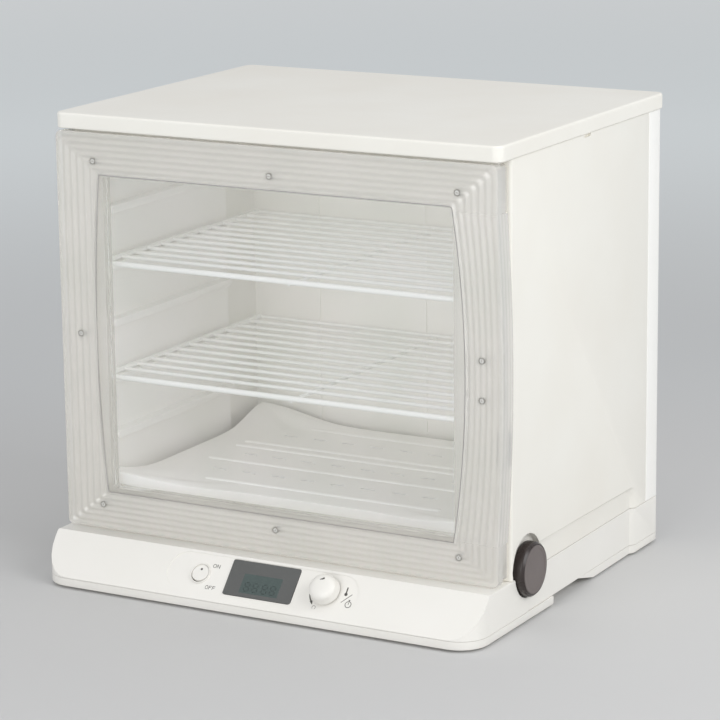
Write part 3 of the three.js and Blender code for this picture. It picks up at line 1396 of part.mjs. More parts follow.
place('display_cover', displayCover(), glossDark, controlPanel);
place('lcd_module', lcdModule(), { color: 0x5a6665, roughness: 0.3, metalness: 0 }, controlPanel);
place('control_board', controlBoard(), { color: 0x2f6b46, roughness: 0.6, metalness: 0 }, controlPanel);
place('switch_body', switchBody(), whitePlastic, controlPanel).position.set(switchX, switchY, 0);
const rocker = place('power_button', rockerButton(), whitePlastic, controlPanel);
rocker.position.set(switchX, switchY, -rockerDepth);
rocker.rotation.x = -rockerTilt;
place('encoder_body', encoderBody(), darkPlastic, controlPanel);
place('dial_shaft', dialShaft(), steel, controlPanel);
const dial = place('dial_knob', dialKnob(), whitePlastic, controlPanel);
dial.position.set(dialX, dialY, 0);

place('heater_plate', heaterPlate(), aluminium);
place('heating_element', heatingElement(), steel);
place('temperature_sensor', temperatureSensor(), steel);
place('thermal_fuse', thermalFuse(), creamPlastic);
place('terminal_block', terminalBlock(), creamPlastic);
place('cord_bushing', cordBushing(), darkPlastic);
place('water_dish', waterDish(), aluminium);
place('floor_cover', floorCover(), whitePlastic);

const knobGeometry = geometryOf(turned(lockKnobProfile(), 24));
knobGeometry.rotateY(Math.PI / 2);
const lockShaftGeometry = geometryOf(lockShaft());
for (const [name, side] of [['right', 1], ['left', -1]]) {
  const lock = new THREE.Group();
  lock.position.set(0, knobY, knobZ);
  proofer.add(lock);
  const shaped = (geometry) => (side > 0 ? geometry : mirrored(geometry));
  place(`lock_knob_${name}`, shaped(knobGeometry), darkPlastic, lock);
  place(`lock_shaft_${name}`, shaped(lockShaftGeometry), steel, lock);
  place(`side_panel_${name}`, sideShell(side), creamPlastic);
  place(`side_liner_${name}`, sideLiner(side), whitePlastic);
  place(`side_hinge_pin_${name}`,
    rod('y', foldPinRadius, foldPinFrontY, foldPinRearY, side * foldPinX, foldPinZ, 10), steel);
}
place('catch_magnet', magnetSolid(0), { color: 0x3a3a3c, roughness: 0.5, metalness: 0.3 });
place('back_panel', backPanel(), whitePlastic);
place('back_hinge_pin',
  rod('x', foldPinRadius, -backPinHalfLength, backPinHalfLength, backPinY, foldPinZ, 10), steel);
place('lid', lidTop(), creamPlastic);
place('lid_liner', lidLiner(), whitePlastic);

place('door_outer', doorOuter(), clearPlastic, door);
place('door_inner', doorInner(), clearPlastic, door);
place('door_seal', doorSeal(), rubber, door);
place('strike_plate', strikeSolid(0), steel, door);
place('hinge_pin_bottom', rod('z', hingePinRadius, baseTopZ - hingePinSeat + fitGap,
  doorBottomZ + innerInset + hingePinReach, hingeX, hingeY), steel, door);
place('hinge_pin_top', rod('z', hingePinRadius, doorTopZ - innerInset - hingePinReach,
  lidUnderZ + hingePinSeat, hingeX, hingeY), steel, door);
doorScrewPlaces.forEach(([x, z], k) => place(`door_screw_${k + 1}`, doorScrew(x, z), steel, door));

const shelfRise = fitGap + shelfBarRadius;
place('shelf_upper', wireShelf(railTops[shelfUpperRail] + shelfRise), steel);
place('shelf_lower', wireShelf(railTops[shelfLowerRail] + shelfRise), steel);

export default proofer;
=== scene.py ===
# Looks of a folding dough proofer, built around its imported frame.
# The scene is in metres, +Z up, +X to the right as seen from the front, and the front looks
# along -Y. Shapes are written in millimetres, as in the part's source, and scaled as their
# meshes are made.

import json
import math

import bmesh
import bpy
from mathutils import Matrix, Vector


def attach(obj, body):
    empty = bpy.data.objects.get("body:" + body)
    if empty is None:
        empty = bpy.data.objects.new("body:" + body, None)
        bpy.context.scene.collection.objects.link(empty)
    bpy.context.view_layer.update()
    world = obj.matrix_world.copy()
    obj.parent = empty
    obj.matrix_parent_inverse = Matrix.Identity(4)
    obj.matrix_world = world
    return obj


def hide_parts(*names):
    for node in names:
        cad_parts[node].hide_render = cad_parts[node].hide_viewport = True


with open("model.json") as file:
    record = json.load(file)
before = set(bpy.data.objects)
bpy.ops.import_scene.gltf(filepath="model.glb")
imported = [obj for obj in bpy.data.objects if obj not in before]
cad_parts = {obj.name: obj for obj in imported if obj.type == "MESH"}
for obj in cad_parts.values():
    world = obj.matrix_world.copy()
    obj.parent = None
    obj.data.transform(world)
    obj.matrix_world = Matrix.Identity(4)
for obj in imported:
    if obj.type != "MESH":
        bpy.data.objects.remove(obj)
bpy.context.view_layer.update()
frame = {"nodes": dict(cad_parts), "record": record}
nodes = frame["nodes"]
scene = bpy.context.scene
MM = 0.001
QUARTER = math.pi / 2

# Camera, at the photograph's viewing angle

IMAGE_SIDE = 720                      # pixels
FOCAL_LENGTH = 3075.7                 # pixels
SENSOR_WIDTH = 36                     # millimetres
CAMERA_PLACE = Vector((1.2338, -2.1778, 0.7734))
CAMERA_AZIMUTH = math.radians(29.41)
CAMERA_ELEVATION = math.radians(13.42)
CAMERA_ROLL = math.radians(-0.71)
CAMERA_NEAR, CAMERA_FAR = 0.1, 60     # metres


def make_camera():
    data = bpy.data.cameras.new("camera")
    data.sensor_width = SENSOR_WIDTH
    data.lens = SENSOR_WIDTH * FOCAL_LENGTH / IMAGE_SIDE
    data.clip_start, data.clip_end = CAMERA_NEAR, CAMERA_FAR
    camera = bpy.data.objects.new("camera", data)
    scene.collection.objects.link(camera)
    level = math.cos(CAMERA_ELEVATION)
    ahead = Vector((-math.sin(CAMERA_AZIMUTH) * level, math.cos(CAMERA_AZIMUTH) * level,
                    -math.sin(CAMERA_ELEVATION)))
    right = Vector((math.cos(CAMERA_AZIMUTH), math.sin(CAMERA_AZIMUTH), 0))
    right = right * math.cos(CAMERA_ROLL) + right.cross(ahead) * math.sin(CAMERA_ROLL)
    up = right.cross(ahead)
    turn = Matrix((right, up, -ahead)).transposed().to_4x4()
    camera.matrix_world = Matrix.Translation(CAMERA_PLACE) @ turn
    scene.camera = camera


# Shader nodes

def new_shader(name):
    """A material with an empty node tree, its tree, and the socket that its surface goes to."""
    material = bpy.data.materials.new(name)
    material.use_nodes = True
    tree = material.node_tree
    tree.nodes.clear()
    return material, tree, tree.nodes.new("ShaderNodeOutputMaterial").inputs["Surface"]


def add_node(tree, kind, values=None):
    """A shader node, with values for the sockets that differ from their defaults."""
    node = tree.nodes.new("ShaderNode" + kind)
    for socket, value in (values or {}).items():
        node.inputs[socket].default_value = value
    return node


# Stage: a wide floor painted lighter away from the object, a soft bright world and three soft lamps

FLOOR_REACH, FLOOR_SIDES = 30, 96     # metres, corners
FLOOR_ROUGHNESS, FLOOR_SPECULAR = 0.75, 0.2
RAMP_REACH = 5                        # metres from the middle to the ramp's last stop
# The floor's colour by distance: darker near the object, lighter and bluer far out, painted light
FLOOR_LIGHT_STOPS = (                       # share of the ramp's reach, colour
    (0, (0.63, 0.63, 0.625)),
    (0.08, (0.6, 0.6, 0.6)),
    (0.16, (0.60, 0.61, 0.615)),
    (0.5, (0.86, 0.9, 0.91)),
    (1, (0.98, 1.0, 1.0)),
)
LAMPS = (                             # name, place, side in metres, watts
    ("right_softbox", (2.0, -0.4, 1.3), 1.5, 23),
    ("front_softbox", (0.0, -3.2, 0.9), 2.0, 35),
    ("top_softbox", (0.2, -0.2, 2.8), 1.6, 8),
)
AIM = Vector((0, 0, 0.2))
WORLD_COLOUR = (0.975, 0.985, 1, 1)
WORLD_STRENGTH = 0.6


def make_floor():
    bpy.ops.mesh.primitive_circle_add(vertices=FLOOR_SIDES, radius=FLOOR_REACH,
                                      fill_type="TRIFAN")
    floor = bpy.context.object
    floor.name = "floor"
    # Painted light: the floor's colour follows a ramp by distance from the middle
    material, tree, surface = new_shader("floor_paper")
    place = add_node(tree, "TexCoord")
    length = add_node(tree, "VectorMath")
    length.operation = "LENGTH"
    ramp = add_node(tree, "ValToRGB")
    share = add_node(tree, "MapRange", {"From Max": RAMP_REACH})
    bsdf = add_node(tree, "BsdfPrincipled",
                    {"Roughness": FLOOR_ROUGHNESS, "Specular IOR Level": FLOOR_SPECULAR})
    tree.links.new(place.outputs["Object"], length.inputs[0])
    tree.links.new(length.outputs["Value"], share.inputs["Value"])
    tree.links.new(share.outputs["Result"], ramp.inputs["Fac"])
    tree.links.new(ramp.outputs["Color"], bsdf.inputs["Base Color"])
    tree.links.new(bsdf.outputs["BSDF"], surface)
    ramp.color_ramp.interpolation = "EASE"
    elements = ramp.color_ramp.elements
    for element, (stop, colour) in zip(elements, (FLOOR_LIGHT_STOPS[0], FLOOR_LIGHT_STOPS[-1])):
        element.position, element.color = stop, (*colour, 1)
    for stop, colour in FLOOR_LIGHT_STOPS[1:-1]:
        elements.new(stop).color = (*colour, 1)
    floor.data.materials.append(material)


def make_lights():
    world = bpy.data.worlds.new("studio")
    world.use_nodes = True
    background = world.node_tree.nodes["Background"]
    background.inputs["Color"].default_value = WORLD_COLOUR
    background.inputs["Strength"].default_value = WORLD_STRENGTH
    scene.world = world
    for name, place, side, power in LAMPS:
        data = bpy.data.lights.new(name, "AREA")
        data.size, data.energy = side, power
        lamp = bpy.data.objects.new(name, data)
        lamp.location = place
        lamp.rotation_euler = (AIM - lamp.location).to_track_quat("-Z", "Y").to_euler()
        scene.collection.objects.link(lamp)


# Materials. Sizes of features, and heights of relief, are in metres.

PLASTIC_DRIFT, METAL_DRIFT, CLEAR_DRIFT = 0.09, 0.03, 0.05    # from one shade to the other
GLOSS_DRIFT = 0.02
PLASTIC_GRAIN, RUBBER_GRAIN, METAL_GRAIN = 0.0006, 0.001, 0.0004
CAST_RELIEF, RUBBER_RELIEF = 0.00003, 0.00006
WIRE_RELIEF, GLOSS_RELIEF = 0.00001, 0.000005
PLASTIC_UNEVEN, METAL_UNEVEN = 0.04, 0.06                     # of roughness, either way
DRIFT_DETAIL, GRAIN_DETAIL = 2, 3
NOISE_LOW, NOISE_HIGH = 0.3, 0.7                              # where most of a noise lies
PLASTIC_IOR, CLEAR_IOR = 1.5, 1.49
COAT_ROUGHNESS = 0.04


def linear(hex_colour):
    """A #rrggbb colour in linear light, as shader sockets take it."""
    parts = (int(hex_colour[k:k + 2], 16) / 255 for k in (1, 3, 5))
    return (*(c / 12.92 if c <= 0.04045 else ((c + 0.055) / 1.055) ** 2.4 for c in parts), 1)


def noise(tree, size, detail=GRAIN_DETAIL):
    """The value of a noise texture whose features have a real size."""
    place = add_node(tree, "TexCoord")
    texture = add_node(tree, "TexNoise", {"Scale": 1 / size, "Detail": detail})
    tree.links.new(place.outputs["Object"], texture.inputs["Vector"])
    return texture.outputs["Fac"]


def spread(tree, value, low, high):
    """The value of a noise, stretched to run between two numbers."""
    node = add_node(tree, "MapRange", {"From Min": NOISE_LOW, "From Max": NOISE_HIGH,
                                       "To Min": low, "To Max": high})
    tree.links.new(value, node.inputs["Value"])
    return node.outputs["Result"]


def bump(tree, value, height):
    node = add_node(tree, "Bump", {"Distance": height})
    tree.links.new(value, node.inputs["Height"])
    return node.outputs["Normal"]


def mottled(tree, first, second, size):
    """A colour that drifts between two close shades."""
    mix = tree.nodes.new("ShaderNodeMix")
    mix.data_type = "RGBA"
    mix.inputs["A"].default_value = linear(first)
    mix.inputs["B"].default_value = linear(second)
    tree.links.new(spread(tree, noise(tree, size, DRIFT_DETAIL), 0, 1), mix.inputs["Factor"])
    return mix.outputs["Result"]


def plastic(name, shade, drift, rough, relief=CAST_RELIEF, grain=PLASTIC_GRAIN):
    """Moulded plastic: a faint drift of colour, a fine cast grain and uneven gloss."""
    material, tree, surface = new_shader(name)
    bsdf = add_node(tree, "BsdfPrincipled", {"IOR": PLASTIC_IOR})
    gloss = spread(tree, noise(tree, GLOSS_DRIFT), rough - PLASTIC_UNEVEN, rough + PLASTIC_UNEVEN)
    tree.links.new(mottled(tree, shade, drift, PLASTIC_DRIFT), bsdf.inputs["Base Color"])
    tree.links.new(gloss, bsdf.inputs["Roughness"])
    tree.links.new(bump(tree, noise(tree, grain), relief), bsdf.inputs["Normal"])
    tree.links.new(bsdf.outputs["BSDF"], surface)
    return material


def metal(name, shade, drift, rough):
    """Bare metal: a faint drift of colour and a fine grain of gloss."""
    material, tree, surface = new_shader(name)
    bsdf = add_node(tree, "BsdfPrincipled", {"Metallic": 1})
    gloss = spread(tree, noise(tree, METAL_GRAIN), rough - METAL_UNEVEN, rough + METAL_UNEVEN)
    tree.links.new(mottled(tree, shade, drift, METAL_DRIFT), bsdf.inputs["Base Color"])
    tree.links.new(gloss, bsdf.inputs["Roughness"])
    tree.links.new(bsdf.outputs["BSDF"], surface)
    return material


def clear(name, shade, drift, through, rough, transmission=1.0, coat=0.0):
    """Clear moulded plastic that lets lamplight and the light of the room through."""
    material, tree, surface = new_shader(name)
    bsdf = add_node(tree, "BsdfPrincipled", {
        "Roughness": rough, "Transmission Weight": transmission, "IOR": CLEAR_IOR,
        "Coat Weight": coat, "Coat Roughness": COAT_ROUGHNESS})
    tree.links.new(mottled(tree, shade, drift, CLEAR_DRIFT), bsdf.inputs["Base Color"])
    passing = add_node(tree, "BsdfTransparent", {"Color": linear(through)})
    ray = add_node(tree, "LightPath")
    either = add_node(tree, "Math")
    either.operation = "MAXIMUM"
    tree.links.new(ray.outputs["Is Shadow Ray"], either.inputs[0])
    tree.links.new(ray.outputs["Is Diffuse Ray"], either.inputs[1])
    mix = add_node(tree, "MixShader")
    tree.links.new(either.outputs["Value"], mix.inputs["Fac"])
    tree.links.new(bsdf.outputs["BSDF"], mix.inputs[1])
    tree.links.new(passing.outputs["BSDF"], mix.inputs[2])
    tree.links.new(mix.outputs["Shader"], surface)
    return material


FINISHES = {                          # how it is made, two close shades, roughness and the rest
    "white_plastic": (plastic, "#edebe6", "#eae8e2", 0.42),
    "cream_plastic": (plastic, "#eeece5", "#ebe8e0", 0.46),
    # Whites for the inside, lighter than the same white plastic outside: painted light in the
    # interior
    "painted_light_inner_white": (plastic, "#fdfcfb", "#fbfaf8", 0.5),
    "painted_light_back_white": (plastic, "#f7f6f3", "#f4f3ef", 0.48),
    # Grey of the thin line round the door's pane: painted shade along the window's edge
    "painted_edge_shade": (plastic, "#7c797b", "#858183", 0.3, GLOSS_RELIEF),
    "clear_plastic": (clear, "#ffffff", "#fcfdfc", "#fdfdfd", 0),
    "ribbed_plastic": (clear, "#eceae6", "#e8e7e2", "#f4f3f1", 0.17, 0.6, 0.6),
    "dark_plastic": (plastic, "#6b6361", "#6f6765", 0.5),
    "dark_gloss": (plastic, "#2c2423", "#332b29", 0.28, GLOSS_RELIEF),
    "display_gloss": (plastic, "#5b5c5b", "#5f605f", 0.16, GLOSS_RELIEF),
    "lcd_glass": (plastic, "#4f5b59", "#4c5856", 0.2, GLOSS_RELIEF),
    "lcd_ink": (plastic, "#353f3e", "#333d3c", 0.3, GLOSS_RELIEF),
    "print_ink": (plastic, "#4d4b48", "#55534f", 0.5, GLOSS_RELIEF),
    "grey_ink": (plastic, "#8f8d88", "#97958f", 0.5, GLOSS_RELIEF),
    "pale_plastic": (plastic, "#d9d8d4", "#d3d2ce", 0.4, GLOSS_RELIEF),
    "circuit_board": (plastic, "#2f6b46", "#2a6340", 0.5),
    "steel": (metal, "#c4c6c8", "#b6b8ba", 0.3),
    # The shelf wires are chrome-plated; their near-white colour is a painted reflection of the
    # bright room
    "chrome_wire": (plastic, "#fefefd", "#fbfbf9", 0.22, WIRE_RELIEF),
    "aluminium": (metal, "#cfd1d3", "#c4c6c8", 0.38),
    "magnet": (plastic, "#38383a", "#303032", 0.55),
    "rubber": (plastic, "#dddbd6", "#d6d4cf", 0.8, RUBBER_RELIEF, RUBBER_GRAIN),
}


def make_materials():
    return {name: make(name, *values) for name, (make, *values) in FINISHES.items()}


# CAD nodes: soft moulded edges, and the materials of their slots

CAD_EDGE, EDGE_SEGMENTS = 0.0004, 3   # metres
WELD_REACH = 0.00001                  # metres
FLAT_ANGLE, EDGE_ANGLE = math.radians(0.5), math.radians(35)
# Inside parts take whites lighter than the white plastic outside: painted light that brightens the
# interior
INSIDE_PAINTED_LIGHT = {"side_liner_left": "painted_light_inner_white", "side_liner_right": "painted_light_inner_white",
                 "lid_liner": "painted_light_inner_white", "back_panel": "painted_light_back_white"}


def soften(obj):
    """Rounds the hard edges of a CAD mesh by modifiers and shades it smooth."""
    mesh = obj.data
    custom = mesh.attributes.get("custom_normal")
    if custom is not None:
        mesh.attributes.remove(custom)
    mesh.polygons.foreach_set("use_smooth", [True] * len(mesh.polygons))
    weld = obj.modifiers.new("weld", "WELD")
    weld.merge_threshold = WELD_REACH
    planar = obj.modifiers.new("planar", "DECIMATE")
    planar.decimate_type = "DISSOLVE"
    planar.angle_limit = FLAT_ANGLE
    bevel = obj.modifiers.new("bevel", "BEVEL")
    bevel.limit_method = "ANGLE"
    bevel.angle_limit = EDGE_ANGLE
    bevel.width = CAD_EDGE
    bevel.segments = EDGE_SEGMENTS
    bevel.harden_normals = True
    bevel.use_clamp_overlap = True


def dress_nodes():
    for part in frame["record"]["subparts"]:
        obj = nodes[part["node"]]
        finish = INSIDE_PAINTED_LIGHT.get(part["node"], part["material_slot"])
        obj.data.materials.clear()
        obj.data.materials.append(materials[finish])
        soften(obj)


# Pieces

SHARP_ANGLE = math.radians(30)
DOUBLES_REACH = 0.000002              # metres


def settle(obj, slot, body, replaced=(), material=None):
    """Shades a piece, gives it its finish and its body, and hides the CAD parts that it stands for.
    """
    mesh = obj.data
    mesh.polygons.foreach_set("use_smooth", [True] * len(mesh.polygons))
    mesh.set_sharp_from_angle(angle=SHARP_ANGLE)
    mesh.materials.clear()
    mesh.materials.append(materials[material or slot])
    weigh = obj.modifiers.new("weigh", "WEIGHTED_NORMAL")
    weigh.keep_sharp = True
    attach(obj, body)
    if replaced:
        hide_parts(*replaced)
    return obj


def bare(name, shape):
    """An object from points in millimetres and faces, closed and facing out, without looks."""
    points, faces = shape
    mesh = bpy.data.meshes.new(name)
    mesh.from_pydata([Vector(p) * MM for p in points], [], faces)
    work = bmesh.new()
    work.from_mesh(mesh)
    bmesh.ops.remove_doubles(work, verts=work.verts, dist=DOUBLES_REACH)
    bmesh.ops.recalc_face_normals(work, faces=work.faces)
    work.to_mesh(mesh)
    work.free()
    obj = bpy.data.objects.new(name, mesh)
    scene.collection.objects.link(obj)
    return obj


def piece(name, shape, slot, body, replaced=(), material=None):
    return settle(bare(name, shape), slot, body, replaced, material)


def carve(obj, cutter):
    """Cuts one object's shape out of another's, and drops the cutter."""
    cut = obj.modifiers.new("cut", "BOOLEAN")
    cut.operation, cut.solver, cut.object = "DIFFERENCE", "EXACT", cutter
    bpy.context.view_layer.update()
    cut_obj = obj.evaluated_get(bpy.context.evaluated_depsgraph_get())
    mesh = bpy.data.meshes.new_from_object(cut_obj)
    obj.modifiers.clear()
    obj.data = mesh
    bpy.data.objects.remove(cutter)


# Shapes: points and faces

WIRE_SIDES = 14
SLAB_CORNER_STEPS, SLAB_EDGE_STEPS = 8, 5


def lerp(a, b, share):
    return a + (b - a) * share


def smooth(value, low, high):
    t = min(max((value - low) / (high - low), 0), 1)
    return t * t * (3 - 2 * t)


def angles(steps, whole, last=True):
    """Evenly spaced angles from 0 to the whole, with or without the last one."""
    return [k / steps * whole for k in range(steps + 1 if last else steps)]


def lofted(rings, ends=True):
    """A body through rings, capped at its ends or closed on itself."""
    count = len(rings[0])
    points = [p for ring in rings for p in ring]
    faces = []
    for r in range(len(rings) - (1 if ends else 0)):
        low, high = r * count, (r + 1) % len(rings) * count
        for i in range(count):
            j = (i + 1) % count
            faces.append((low + i, low + j, high + j, high + i))
    if ends:
        faces.append(tuple(reversed(range(count))))
        faces.append(tuple(range(len(points) - count, len(points))))
    return points, faces


def joined(shapes):
    points, faces = [], []
    for more_points, more_faces in shapes:
        start = len(points)
        points += more_points
        faces += [tuple(start + i for i in face) for face in more_faces]
    return points, faces


def placed(shape, matrix):
    points, faces = shape
    return [matrix @ Vector(p) for p in points], faces


def outline(u0, u1, v0, v1, radii, steps):
    """A rounded rectangle, counterclockwise from its low corner, one radius a corner."""
    corners = ((u0 + radii[0], v0 + radii[0]), (u1 - radii[1], v0 + radii[1]),
               (u1 - radii[2], v1 - radii[2]), (u0 + radii[3], v1 - radii[3]))
    points = []
    for corner, (u, v) in enumerate(corners):
        for k in range(steps + 1):
            turn = math.pi * (1 + corner / 2 + k / steps / 2)
            points.append((u + radii[corner] * math.cos(turn),
                           v + radii[corner] * math.sin(turn)))
    return points


def plate(flat, low, high):
    """A flat outline drawn out along z."""
    return lofted([[(u, v, low) for u, v in flat], [(u, v, high) for u, v in flat]])


def slab(xs, ys, zs, radius, top, bottom=0.0):
    """A flat body with rounded corners in plan and rounded upper and lower edges."""
    def ring(inset, z):
        flat = outline(xs[0] + inset, xs[1] - inset, ys[0] + inset, ys[1] - inset,
                       [radius - inset] * 4, SLAB_CORNER_STEPS)
        return [(x, y, z) for x, y in flat]
    edge = angles(SLAB_EDGE_STEPS, QUARTER)
    low = [ring(bottom * (1 - math.sin(a)), zs[0] + bottom * (1 - math.cos(a))) for a in edge]
    high = [ring(top * (1 - math.cos(a)), zs[1] - top * (1 - math.sin(a))) for a in edge]
    return lofted((low if bottom else [ring(0, zs[0])]) + high)


def turned(profile, sides, closed=False):
    """A body turned about z from (radius, z) points that run from axis to axis or close up."""
    count = len(profile)
    points = [(r * math.cos(a), r * math.sin(a), z)
              for a in angles(sides, math.tau, last=False) for r, z in profile]
    faces = []
    for k in range(sides):
        low, high = k * count, (k + 1) % sides * count
        for i in range(count if closed else count - 1):
            j = (i + 1) % count
            faces.append((low + i, high + i, high + j, low + j))
    return points, faces


def swept(path, radius, sides=WIRE_SIDES):
    """A round wire along a path of points, capped at both ends."""
    path = [Vector(p) for p in path]
    rings = []
    side = None
    for k, point in enumerate(path):
        ahead = (path[min(k + 1, len(path) - 1)] - path[max(k - 1, 0)]).normalized()
        side = ahead.orthogonal() if side is None else side - ahead * side.dot(ahead)
        side.normalize()
        up = ahead.cross(side)
        rings.append([point + (side * math.cos(a) + up * math.sin(a)) * radius
                      for a in angles(sides, math.tau, last=False)])
    return lofted(rings)


# Door: its outer moulding, with depths counted back from its face

DOOR_FACE_Y = -134.0
DOOR_HALF_WIDTH = 202.0
DOOR_BOTTOM_Z, DOOR_TOP_Z = 42.3, 376.5
DOOR_CORNER = 5.0
DOOR_DEPTH = 9.5
DOOR_SOFT_EDGE = 1.2
WINDOW_HALF_WIDTH = 162.5
WINDOW_BOTTOM_Z, WINDOW_TOP_Z = 74.0, 342.0
WINDOW_CORNER, WINDOW_SOFT_CORNER = 1.1, 3.0
WINDOW_ARCH_RIGHT, WINDOW_ARCH_LEFT = 10.5, 6.5
GRIP_BOTTOM_Z, GRIP_TOP_Z = 76.0, 338.0
GRIP_BULGE, GRIP_PROUD, GRIP_STEP = 4.8, 0.7, 0.4
GRIP_SKIRT = 18.5
SKIRT_WALL, SKIRT_LIP = 2.3, 0.5
SKIRT_DEPTH = DOOR_DEPTH - SKIRT_LIP
FLANGE_GROOVES, GROOVE_FACETS, GROOVE_DEPTH = 3, 4, 0.3
RIBS, RIB_HEIGHT, RIB_FACETS = 6, 1.1, 8
INNER_RIB = 1 - 1 / RIBS              # share of the way in at which the innermost rib starts
RIM_WIDTH = 3.0
RIM_SHARE = RIM_WIDTH / (DOOR_HALF_WIDTH - WINDOW_HALF_WIDTH)
PANE_SET_BACK, PANE_THICKNESS = 2.5, 2.4
PANE_FRONT = GRIP_PROUD + PANE_SET_BACK
PANE_BACK = PANE_FRONT + PANE_THICKNESS
PANE_PLAY, PANE_RIM = 0.05, 1.0
# Width, rise and depth of the dark line round the pane, painted shade along the window's edge
SHADE_LINE_WIDTH, SHADE_LINE_PROUD, SHADE_LINE_DEPTH = 0.55, 0.05, 0.3
JAMB_INSET = 2.5
DOOR_CORNER_STEPS, DOOR_EDGE_STEPS = 4, 4
GRIP_FACETS, SIDE_FACETS, CROSS_FACETS = 28, 14, 8
GRIP_LEVELS = [k / GRIP_FACETS for k in range(GRIP_FACETS + 1)]
SIDE_LEVELS = [1 - (k + 1) / SIDE_FACETS for k in range(SIDE_FACETS - 1)]
CROSS_LEVELS = [(k + 1) / CROSS_FACETS for k in range(CROSS_FACETS - 1)]


def arch(z, low, high, bulge):
    """How far an edge bulges at a height, as an arc between two levels."""
    t = (2 * z - low - high) / (high - low)
    return bulge * max(0, 1 - t * t)


def door_ring(inward, depth, inset=0.0, grip_depth=None, groove=0.0):
    """One ring of the outer moulding, from 0 at the door's edge to 1 at the window's edge.

    The grip at its right may have a depth of its own, and a groove that narrows it.
    """
    grip_depth = depth if grip_depth is None else grip_depth
    low = lerp(DOOR_BOTTOM_Z, WINDOW_BOTTOM_Z, inward) + inset
    high = lerp(DOOR_TOP_Z, WINDOW_TOP_Z, inward) - inset
    side = lerp(DOOR_HALF_WIDTH, WINDOW_HALF_WIDTH, inward) - inset
    radius = max(lerp(DOOR_CORNER, WINDOW_CORNER, inward) - inset, WINDOW_CORNER / 2)
    soft = max(lerp(DOOR_CORNER, WINDOW_SOFT_CORNER, inward) - inset, WINDOW_CORNER / 2)
    bulge = lerp(GRIP_BULGE, WINDOW_ARCH_RIGHT, inward)
    left_part = smooth(inward, INNER_RIB, 1)
    corners = outline(-side, side, low, high, (radius, radius, soft, radius), DOOR_CORNER_STEPS)
    run = DOOR_CORNER_STEPS + 1
    corner = [corners[k * run:(k + 1) * run] for k in range(4)]
    bottom = [(lerp(-side, side, share), low) for share in CROSS_LEVELS]
    top = [(lerp(side, -side, share), high) for share in CROSS_LEVELS]
    right = []
    for share in GRIP_LEVELS:
        z = lerp(GRIP_BOTTOM_Z + GRIP_STEP, GRIP_TOP_Z - GRIP_STEP, share)
        right.append((side - groove + arch(z, GRIP_BOTTOM_Z, GRIP_TOP_Z, bulge), z))
    left = []
    for share in SIDE_LEVELS:
        z = lerp(WINDOW_BOTTOM_Z, WINDOW_TOP_Z, share)
        bend = arch(z, WINDOW_BOTTOM_Z, WINDOW_TOP_Z, WINDOW_ARCH_LEFT)
        left.append((-side - left_part * bend, z))
    before = corner[0] + bottom + corner[1] + [(side, GRIP_BOTTOM_Z - GRIP_STEP)]
    after = [(side, GRIP_TOP_Z + GRIP_STEP)] + corner[2] + top + corner[3] + left
    return ([(x, DOOR_FACE_Y + depth, z) for x, z in before]
            + [(x, DOOR_FACE_Y + grip_depth, z) for x, z in right]
            + [(x, DOOR_FACE_Y + depth, z) for x, z in after])


def make_door():
    """The ribbed frame from the window out and round to its back, the pane and a painted shade
    line.
    """
    rings = []
    for k in range(RIBS * RIB_FACETS, -1, -1):
        across = k / (RIBS * RIB_FACETS)
        wave = RIB_HEIGHT * (1 - math.cos(across * RIBS * math.pi * 2)) / 2
        depth = GRIP_PROUD + PANE_SET_BACK * across * across + wave
        proud = GRIP_PROUD * (1 - smooth(across, INNER_RIB, 1))
        rings.append(door_ring(lerp(RIM_SHARE, 1, across), depth, grip_depth=depth - proud))
    for a in angles(DOOR_EDGE_STEPS, QUARTER):
        fall = DOOR_SOFT_EDGE * (1 - math.cos(a))
        inset = DOOR_SOFT_EDGE * (1 - math.sin(a))
        rings.append(door_ring(0, GRIP_PROUD + fall, inset, grip_depth=fall))
    for k in range(FLANGE_GROOVES * GROOVE_FACETS):
        share = (k + 1) / (FLANGE_GROOVES * GROOVE_FACETS + 2)
        rings.append(door_ring(
            0, lerp(GRIP_PROUD + DOOR_SOFT_EDGE, SKIRT_DEPTH, share),
            grip_depth=lerp(DOOR_SOFT_EDGE, GRIP_SKIRT, share),
            groove=GROOVE_DEPTH * (1 - math.cos(k * math.tau / GROOVE_FACETS)) / 2))
    rings += [
        door_ring(0, SKIRT_DEPTH, grip_depth=GRIP_SKIRT),
        door_ring(0, SKIRT_DEPTH, SKIRT_WALL, grip_depth=GRIP_SKIRT),
        door_ring(0, DOOR_DEPTH, SKIRT_WALL + SKIRT_LIP / 2),
        door_ring(1, DOOR_DEPTH, -JAMB_INSET),
        door_ring(1, PANE_BACK, -JAMB_INSET / 2),
    ]
    piece("door_frame", lofted(rings, ends=False), "clear_plastic", "door", ("door_outer",),
          "ribbed_plastic")
    pane = [door_ring(1, PANE_FRONT, PANE_RIM), door_ring(1, PANE_FRONT, PANE_PLAY),
            door_ring(1, PANE_BACK, PANE_PLAY), door_ring(1, PANE_BACK, PANE_RIM)]
    piece("door_pane", lofted(pane), "clear_plastic", "door", ("door_outer",))
    # A thin dark grey line round the pane's edge: painted shade along the window's edge
    shade_line = [door_ring(1, PANE_FRONT - SHADE_LINE_PROUD, inset) for inset in (PANE_PLAY, SHADE_LINE_WIDTH)]
    shade_line += [door_ring(1, PANE_FRONT + SHADE_LINE_DEPTH, inset) for inset in (SHADE_LINE_WIDTH, PANE_PLAY)]
    piece("door_pane_shade_line", lofted(shade_line, ends=False), "clear_plastic", "door", (), "painted_edge_shade")


# Door: its inner moulding

INNER_FRONT_Y, INNER_BACK_Y = -124.2, -112.3
INNER_MIDDLE_Y = (INNER_FRONT_Y + INNER_BACK_Y) / 2
INNER_PANE, INNER_PLAY = 2.0, 0.05
INNER_CORNER_STEPS = 10
CUTTER_REACH = 3


